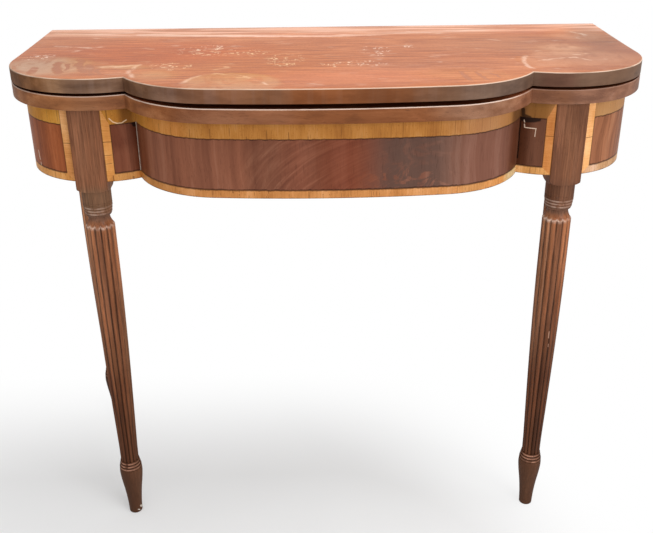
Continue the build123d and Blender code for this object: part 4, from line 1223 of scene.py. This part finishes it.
def shaft_rows():
    """The cove, and the reeded shaft that it cuts off in scallops."""
    rows = []
    for step in range(1, COVE_STEPS + 1):
        share = step / COVE_STEPS
        crest = max(0.0, share - 0.84) / 0.16
        rows.append({"level": COVE_TOP, "cove": share, "hollow": 0.5 * (1 - share) ** 2, "crest": crest})
    reed_top, reed_foot = REED_STATIONS[0][0], REED_STATIONS[-1][0]
    levels = [reed_top - 1.0, reed_top - 4.0, *(reed_top - 20 * step for step in range(1, 22)), reed_foot]
    for level in levels:
        rows.append({
            "reeded": along_stations(REED_STATIONS, level) * MM,
            "level": level * MM,
            "crest": 0.6 if level == levels[0] else 0.0,
        })
    return rows


def foot_rows():
    """The rings and the vase foot, down to its rounded toe."""
    rows = [{"radius": FOOT_RING_RADIUS - 0.2 * MM, "level": FOOT_RING_TOP, "hollow": 0.8}]
    rows += ring_rows(FOOT_RING_RADIUS, FOOT_RING_TOP, FOOT_RING_HEIGHT, FOOT_RING_STEP)
    for level in FOOT_LEVELS:
        rows.append({"radius": along_stations(FOOT_STATIONS, level) * MM, "level": level * MM})
    rows += [{"radius": radius * MM, "level": level * MM} for level, radius in TOE_STATIONS]
    return rows


def circle_through(first, second, third):
    """Centre and radius of a circle through three points."""
    (x1, y1), (x2, y2), (x3, y3) = first, second, third
    half = 2 * (x1 * (y2 - y3) + x2 * (y3 - y1) + x3 * (y1 - y2))
    squares = [x * x + y * y for x, y in (first, second, third)]
    x = (squares[0] * (y2 - y3) + squares[1] * (y3 - y1) + squares[2] * (y1 - y2)) / half
    y = (squares[0] * (x3 - x2) + squares[1] * (x1 - x3) + squares[2] * (x2 - x1)) / half
    return x, y, math.dist((x, y), first)


def geometry_nodes(name, source, result, inputs):
    """Empty geometry node tree with named inputs, and the sockets that they come in by."""
    tree = bpy.data.node_groups.new(name, "GeometryNodeTree")
    face = tree.interface
    face.new_socket(source, in_out="INPUT", socket_type="NodeSocketGeometry")
    for label, value in inputs.items():
        kind = {int: "Int", float: "Float", tuple: "Vector"}.get(type(value), "Material")
        socket = face.new_socket(label, in_out="INPUT", socket_type="NodeSocket" + kind)
        if value is not None:
            socket.default_value = value
    face.new_socket(result, in_out="OUTPUT", socket_type="NodeSocketGeometry")
    nodes = Nodes(tree)
    return nodes, nodes.add("NodeGroupInput").outputs


def finish_tree(nodes, geometry, material):
    """End of a tree: instances made real, and their material set."""
    whole = nodes.out("GeometryNodeRealizeInstances", {0: geometry})
    painted = nodes.out("GeometryNodeSetMaterial", {0: whole, "Material": material})
    nodes.add("NodeGroupOutput", {0: painted})
    return nodes.tree


def grown_mesh(name, seed, tree, inputs):
    """Plain mesh that a node tree makes from a seed mesh, with inputs given by their names."""
    blank = set_out(name + "_blank", seed)
    growth = blank.modifiers.new("growth", "NODES")
    growth.node_group = tree
    for item in tree.interface.items_tree:
        if item.item_type == "SOCKET" and item.in_out == "INPUT" and item.name in inputs:
            growth[item.identifier] = inputs[item.name]
    return evaluated_mesh(blank, name)


def leg_inputs():
    """Sizes that the legs' node tree starts from."""
    corner = HALF_DIE * math.sqrt(2)
    share = math.sqrt(0.5)
    middle = (DRUM_RADIUS + (corner - DRUM_RADIUS) * share, DIE_BOTTOM + SHOULDER_HEIGHT * (1 - share))
    shoulder = circle_through((DRUM_RADIUS, DIE_BOTTOM), middle, (corner, DIE_BOTTOM + SHOULDER_HEIGHT))
    flare = REED_STATIONS[0][1] * MM - NECK_RADIUS
    return {
        "Reeds": REED_COUNT, "Faces Per Reed": FACES_PER_REED, "Reed Depth": REED_DEPTH,
        "Half Die": HALF_DIE, "Die Power": DIE_POWER, "Drum Radius": DRUM_RADIUS,
        "Shoulder Centre": shoulder[0], "Shoulder Level": shoulder[1], "Shoulder Radius": shoulder[2],
        "Neck Radius": NECK_RADIUS, "Cove Top": COVE_TOP,
        "Cove Radius": (COVE_HEIGHT**2 + flare**2) / (2 * flare), "Cove Reed Radius": NECK_RADIUS + flare,
        "Place": (0, 0, 0), "Wood": None,
    }


def squared_head(nodes, given, angle, share):
    """Radius of the square head, and the radius and level of the rounded shoulder under it."""
    calc, product = nodes.calc, nodes.product
    power = given["Die Power"]
    cosine = calc("POWER", calc("ABSOLUTE", calc("COSINE", angle)), power)
    sine = calc("POWER", calc("ABSOLUTE", calc("SINE", angle)), power)
    reach = calc("POWER", calc("ADD", cosine, sine), calc("DIVIDE", 1.0, power))
    square = calc("DIVIDE", given["Half Die"], reach)
    shouldered = calc("ADD", square, product(calc("SUBTRACT", given["Drum Radius"], square), share))
    off_centre = calc("SUBTRACT", shouldered, given["Shoulder Centre"])
    height = calc("SUBTRACT", product(given["Shoulder Radius"], given["Shoulder Radius"]),
                  product(off_centre, off_centre))
    return square, shouldered, calc("SUBTRACT", given["Shoulder Level"], calc("SQRT", height))


def reeds_over(nodes, given, angle, outer):
    """Radius round a reeded shaft of a given outer radius, with one of its reeds facing the front."""
    calc, product = nodes.calc, nodes.product
    half_pitch = calc("DIVIDE", math.pi, given["Reeds"])
    off = calc("SUBTRACT", calc("MODULO", angle, product(half_pitch, 2.0)), half_pitch)
    groove = calc("SUBTRACT", outer, given["Reed Depth"])
    half_chord = product(groove, calc("SINE", half_pitch))
    height = calc("SUBTRACT", outer, product(groove, calc("COSINE", half_pitch)))
    squares = calc("ADD", product(half_chord, half_chord), product(height, height))
    reed_radius = calc("DIVIDE", squares, product(height, 2.0))
    middle = calc("SUBTRACT", outer, reed_radius)
    offset = product(middle, calc("SINE", off))
    root = calc("SUBTRACT", product(reed_radius, reed_radius), product(offset, offset))
    return calc("ADD", product(middle, calc("COSINE", off)), calc("SQRT", root))


def flared_cove(nodes, given, angle, share):
    """Radius and level of the cove that flares from the neck and cuts off the reeds in scallops."""
    calc, product = nodes.calc, nodes.product
    radius = given["Cove Radius"]
    centre = calc("ADD", given["Neck Radius"], radius)
    squared = product(radius, radius)
    rim_run = calc("SUBTRACT", centre, reeds_over(nodes, given, angle, given["Cove Reed Radius"]))
    down = product(calc("SQRT", calc("SUBTRACT", squared, product(rim_run, rim_run))), share)
    coved = calc("SUBTRACT", centre, calc("SQRT", calc("SUBTRACT", squared, product(down, down))))
    return coved, calc("SUBTRACT", given["Cove Top"], down)


def leg_tree():
    """Geometry nodes that turn rows of a half section into a leg with a square head and round reeds."""
    nodes, given = geometry_nodes("turned_leg", "Half Section", "Leg", leg_inputs())
    calc, product = nodes.calc, nodes.product

    # One row of vertices for each row of the half section
    count = nodes.out("GeometryNodeAttributeDomainSize", {0: given["Half Section"]}, component="MESH")
    sides = product(given["Reeds"], given["Faces Per Reed"])
    grid = nodes.out("GeometryNodeMeshGrid", {0: 1.0, 1: 1.0, 2: calc("ADD", sides, 1.0), 3: count})
    around, lengthwise, _ = nodes.parts(nodes.out("GeometryNodeInputPosition"))
    angle = product(calc("ADD", around, 0.5), math.tau)
    row = calc("ROUND", product(calc("ADD", lengthwise, 0.5), calc("SUBTRACT", count, 1.0)))

    def column(name):
        named = nodes.out("GeometryNodeInputNamedAttribute", {"Name": name}, data_type="FLOAT")
        sample = {0: given["Half Section"], "Value": named, "Index": row}
        return nodes.out("GeometryNodeSampleIndex", sample, data_type="FLOAT")

    def choose(condition, no, yes):
        return nodes.out("GeometryNodeSwitch", {0: condition, 1: no, 2: yes}, input_type="FLOAT")

    radius, reeded, level = column("radius"), column("reeded"), column("level")
    shoulder_share, cove_share = column("shoulder"), column("cove")
    square, shouldered, shoulder_level = squared_head(nodes, given, angle, shoulder_share)
    coved, cove_level = flared_cove(nodes, given, angle, cove_share)
    shaft = reeds_over(nodes, given, angle, reeded)
    in_shoulder = calc("GREATER_THAN", shoulder_share, 0.0)
    in_cove = calc("GREATER_THAN", cove_share, 0.0)
    in_reeds = calc("GREATER_THAN", reeded, 0.0)
    radius = choose(calc("LESS_THAN", radius, -0.5), radius, square)
    radius = choose(in_shoulder, radius, shouldered)
    radius = choose(in_cove, radius, coved)
    radius = choose(in_reeds, radius, shaft)
    level = choose(in_cove, choose(in_shoulder, level, shoulder_level), cove_level)

    # Depth of the hollows and height of the crests, for the finish
    deep = calc("DIVIDE", calc("SUBTRACT", reeded, shaft), given["Reed Depth"])
    crowns = product(column("crest"), nodes.rest(choose(in_reeds, 0.0, deep)))
    stored = grid
    for name, value in (("hollow", choose(in_reeds, column("hollow"), deep)), ("crest", crowns)):
        stored = nodes.out("GeometryNodeStoreNamedAttribute", {0: stored, "Name": name, "Value": value},
                           data_type="FLOAT", domain="POINT")

    turned_x = product(radius, calc("COSINE", angle))
    turned_y = product(radius, calc("SINE", angle))
    standing = nodes.vector("ADD", nodes.joined(turned_x, turned_y, level), given["Place"])
    shaped = nodes.out("GeometryNodeSetPosition", {0: stored, "Position": standing})
    closed = nodes.out("GeometryNodeMergeByDistance", {0: shaped, "Distance": 0.02 * MM})
    return finish_tree(nodes, closed, given["Wood"])


turned_leg = leg_tree()
BLANK_VALUES = {"radius": -1, "reeded": 0, "level": 0, "hollow": 0, "crest": 0, "shoulder": 0, "cove": 0}


def leg(name, place, top, body):
    """Turned leg, standing at a place, with its head up to a level."""
    rows = head_rows(top) + drum_rows() + shaft_rows() + foot_rows()
    section = bpy.data.meshes.new(name + "_section")
    section.from_pydata([(0, 0, row["level"]) for row in rows], [], [])
    for column, blank_value in BLANK_VALUES.items():
        values = section.attributes.new(column, "FLOAT", "POINT")
        values.data.foreach_set("value", [row.get(column, blank_value) for row in rows])
    mesh = grown_mesh(name, section, turned_leg, {"Place": (*place, 0.0), "Wood": leg_mahogany})
    build = bmesh.new()
    build.from_mesh(mesh)
    bmesh.ops.recalc_face_normals(build, faces=build.faces)
    build.to_mesh(mesh)
    build.free()
    mark_sharp(mesh, degrees=34)
    new_piece("turned_" + name, mesh, leg_mahogany, body, name)


leg("front_leg_right", FRONT_LEG, FIXED_UNDER, "table")
leg("front_leg_left", (-FRONT_LEG[0], FRONT_LEG[1]), FIXED_UNDER, "table")
leg("rear_leg_right", REAR_LEG, FIXED_UNDER, "table")
leg("swing_leg", SWING_LEG, FIXED_UNDER - SWING_LEG_GAP, "swing_leg")


def screw_tree():
    """Geometry nodes that set a slotted countersunk screw at every point, along its axis."""
    inputs = {**PLATE_SCREW, "Seed": 5, "Metal": None}
    nodes, given = geometry_nodes("slotted_screws", "Places", "Screws", inputs)
    calc, product = nodes.calc, nodes.product

    def cone(bottom, top, height, start):
        sizes = {"Vertices": SCREW_SIDES, "Radius Top": top, "Radius Bottom": bottom, "Depth": height}
        solid = nodes.out("GeometryNodeMeshCone", sizes)
        place = nodes.out("ShaderNodeCombineXYZ", {2: start})
        return nodes.out("GeometryNodeTransform", {"Geometry": solid, "Translation": place})

    # Head with its slot, shank and point, from the head's face inwards
    thick = given["Shank Radius"]
    thin = product(thick, SHANK_TAPER)
    straight = calc("SUBTRACT", given["Length"], calc("ADD", given["Head Height"], given["Point Length"]))
    head = cone(given["Head Radius"], thick, given["Head Height"], 0.0)
    shank = cone(thick, thin, straight, given["Head Height"])
    tip = cone(thin, 0.0, given["Point Length"], calc("ADD", given["Head Height"], straight))
    slot_length = product(given["Head Radius"], 2.5)
    slot_size = nodes.joined(slot_length, given["Slot Width"], product(given["Slot Depth"], 2.0))
    slot = nodes.out("GeometryNodeMeshCube", {"Size": slot_size})
    slotted = nodes.out("GeometryNodeMeshBoolean", {"Mesh 1": head, "Mesh 2": slot},
                        operation="DIFFERENCE", solver="EXACT")
    screw = nodes.add("GeometryNodeJoinGeometry")
    for part in (slotted, shank, tip):
        nodes.tree.links.new(part, screw.inputs[0])

    # Each is turned by its own amount, as a screw happens to stop
    axis = nodes.out("GeometryNodeInputNamedAttribute", {"Name": "axis"}, data_type="FLOAT_VECTOR")
    pointed = nodes.out("FunctionNodeAlignRotationToVector", {"Vector": axis}, axis="Z")
    amount = nodes.out("FunctionNodeRandomValue", {"Seed": given["Seed"]}, 1, data_type="FLOAT")
    angle = product(amount, math.pi)
    twist = nodes.out("FunctionNodeAxisAngleToRotation", {"Axis": (0, 0, 1), "Angle": angle})
    turned = nodes.out("FunctionNodeRotateRotation", {0: pointed, 1: twist}, rotation_space="LOCAL")
    values = {"Points": given["Places"], "Instance": screw.outputs[0], "Rotation": turned}
    return finish_tree(nodes, nodes.out("GeometryNodeInstanceOnPoints", values), given["Metal"])


slotted_screws = screw_tree()


def screws(node, body, places, metal, sizes):
    """Slotted screws in place of a node's plain ones. A place is a point and the way in."""
    points = bpy.data.meshes.new(node + "_places")
    points.from_pydata([place for place, _ in places], [], [])
    axes = points.attributes.new("axis", "FLOAT_VECTOR", "POINT")
    axes.data.foreach_set("vector", [part for _, inward in places for part in inward])
    mesh = grown_mesh("slotted_" + node, points, slotted_screws, {**sizes, "Metal": metal})
    mark_sharp(mesh, degrees=30)
    new_piece("slotted_" + node, mesh, metal, body, node)


for node, body, level in (
    ("hinge_screws_fixed_top", "table", FIXED_TOP - PLATE_HEIGHT / 2),
    ("hinge_screws_leaf", "leaf", LEAF_UNDER + PLATE_HEIGHT / 2),
):
    places = [((side * HALF_WIDTH, REAR_Y - back, level), (-side, 0, 0))
              for side in (-1, 1) for back in PLATE_SCREWS_FROM_REAR]
    screws(node, body, places, brass, PLATE_SCREW)
places = [((side * x, y, BLOCK_SCREW_LEVEL), (0, 0, 1)) for side in (-1, 1) for x, y in BLOCK_SCREWS]
screws("top_screws", "table", places, iron, BLOCK_SCREW)

# Finishes of the pieces that keep their shape, by the start of their names
FINISHES = (
    ("panel_front", flame_mahogany),
    ("panel_", panel_mahogany),
    ("band_upper", upper_satinwood),
    ("band_lower", lower_satinwood),
    ("strip_", strip_satinwood),
    ("hinge_", brass),
    ("knuckle_pin", iron),
    ("swing_rail", birch),
    ("fixed_rear_rail", birch),
    ("inner_rear_rail", pine),
    ("front_rail", pine),
    ("rear_fixing_blocks", pine),
    ("front_fixing_blocks", pine),
    ("corner_block", side_pine),
    ("side_", side_pine),
    ("cross_brace", side_pine),
)
for name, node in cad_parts.items():
    if not node.hide_render:
        node.data.materials.clear()
        node.data.materials.append(next(finish for start, finish in FINISHES if name.startswith(start)))


def studio_floor():
    """Pale floor that keeps the table's shadow and fades to white away from it."""
    mesh = bpy.data.meshes.new("floor")
    mesh.from_pydata([(-12, -6, 0), (12, -6, 0), (12, 18, 0), (-12, 18, 0)], [], [(0, 1, 2, 3)])
    set_out("floor", mesh)
    finish = Finish("floor_paint")
    colour = finish.shades(finish.cloud((3, 3, 3), 2.0), tones((232, 232, 232), (238, 238, 238)), 0.2)
    shader = finish.out("ShaderNodeBsdfPrincipled", {"Base Color": colour, "Roughness": 0.9})
    glow = finish.out("ShaderNodeEmission", {"Color": (1, 1, 1, 1), "Strength": 1.0})
    before_back = finish.rest(finish.rise(finish.y, -0.22, 0.34))
    before_side = finish.rest(finish.rise(finish.plus(finish.x, finish.y, 0.5), 0.0, 0.42))
    away = finish.rest(finish.product(before_back, before_side))
    far = finish.rise(finish.vector("LENGTH", finish.place, output="Value"), 0.9, 1.9)
    seen = finish.out("ShaderNodeLightPath", None, "Is Camera Ray")
    fade = finish.product(finish.most(away, far, 0.3), seen)
    shown = finish.out("ShaderNodeMixShader", {0: fade, 1: shader, 2: glow})
    finish.add("ShaderNodeOutputMaterial", {"Surface": shown})
    mesh.materials.append(finish.material)


def white_surround():
    """Soft light from all round, white where it is seen, mirrored or looked through to."""
    world = bpy.data.worlds.new("surround")
    bpy.context.scene.world = world
    world.use_nodes = True
    nodes = Nodes(world.node_tree)
    nodes.tree.nodes.clear()
    path = nodes.add("ShaderNodeLightPath").outputs
    through = nodes.calc("MAXIMUM", path["Is Glossy Ray"], path["Is Transmission Ray"])
    seen = nodes.calc("MAXIMUM", path["Is Camera Ray"], through)
    strength = nodes.out("ShaderNodeMapRange", {0: seen, 3: 0.5, 4: 1.0})
    background = nodes.out("ShaderNodeBackground", {0: (1, 1, 1, 1), 1: strength})
    nodes.add("ShaderNodeOutputWorld", {0: background})


def softbox(name, place, aim, size, power):
    light = bpy.data.lights.new(name, "AREA")
    light.shape = "RECTANGLE"
    light.size, light.size_y = size
    light.energy = power
    lamp = set_out(name, light)
    lamp.location = place
    lamp.rotation_euler = (Vector(aim) - Vector(place)).to_track_quat("-Z", "Y").to_euler()


def photo_camera():
    """Camera that sees the table from where the photograph does."""
    forward = Vector((math.sin(YAW) * math.cos(PITCH), math.cos(YAW) * math.cos(PITCH), -math.sin(PITCH)))
    level_right = Vector((math.cos(YAW), -math.sin(YAW), 0))
    level_up = level_right.cross(forward)
    right = math.cos(ROLL) * level_right + math.sin(ROLL) * level_up
    up = -math.sin(ROLL) * level_right + math.cos(ROLL) * level_up
    view = bpy.data.cameras.new("view")
    view.sensor_width = SENSOR_WIDTH
    view.lens = SENSOR_WIDTH * FOCAL_LENGTH / PICTURE_WIDTH
    view.shift_y = (CENTRE_ROW - PICTURE_HEIGHT / 2) / PICTURE_WIDTH
    view.clip_end = 60
    camera = set_out("view", view)
    turned = Matrix((right, up, -forward)).transposed().to_4x4()
    camera.matrix_world = Matrix.Translation(VIEW_PLACE) @ turned
    return camera


studio_floor()
white_surround()
softbox("overhead", place=(0.45, -0.5, 2.6), aim=(0, 0, 0.6), size=(2.0, 1.6), power=34)
softbox("front", place=(1.7, -2.3, 1.4), aim=(0, 0, 0.5), size=(1.6, 1.4), power=34)
bpy.context.scene.camera = photo_camera()
bpy.context.scene.view_settings.view_transform = "Standard"

bpy.context.view_layer.update()
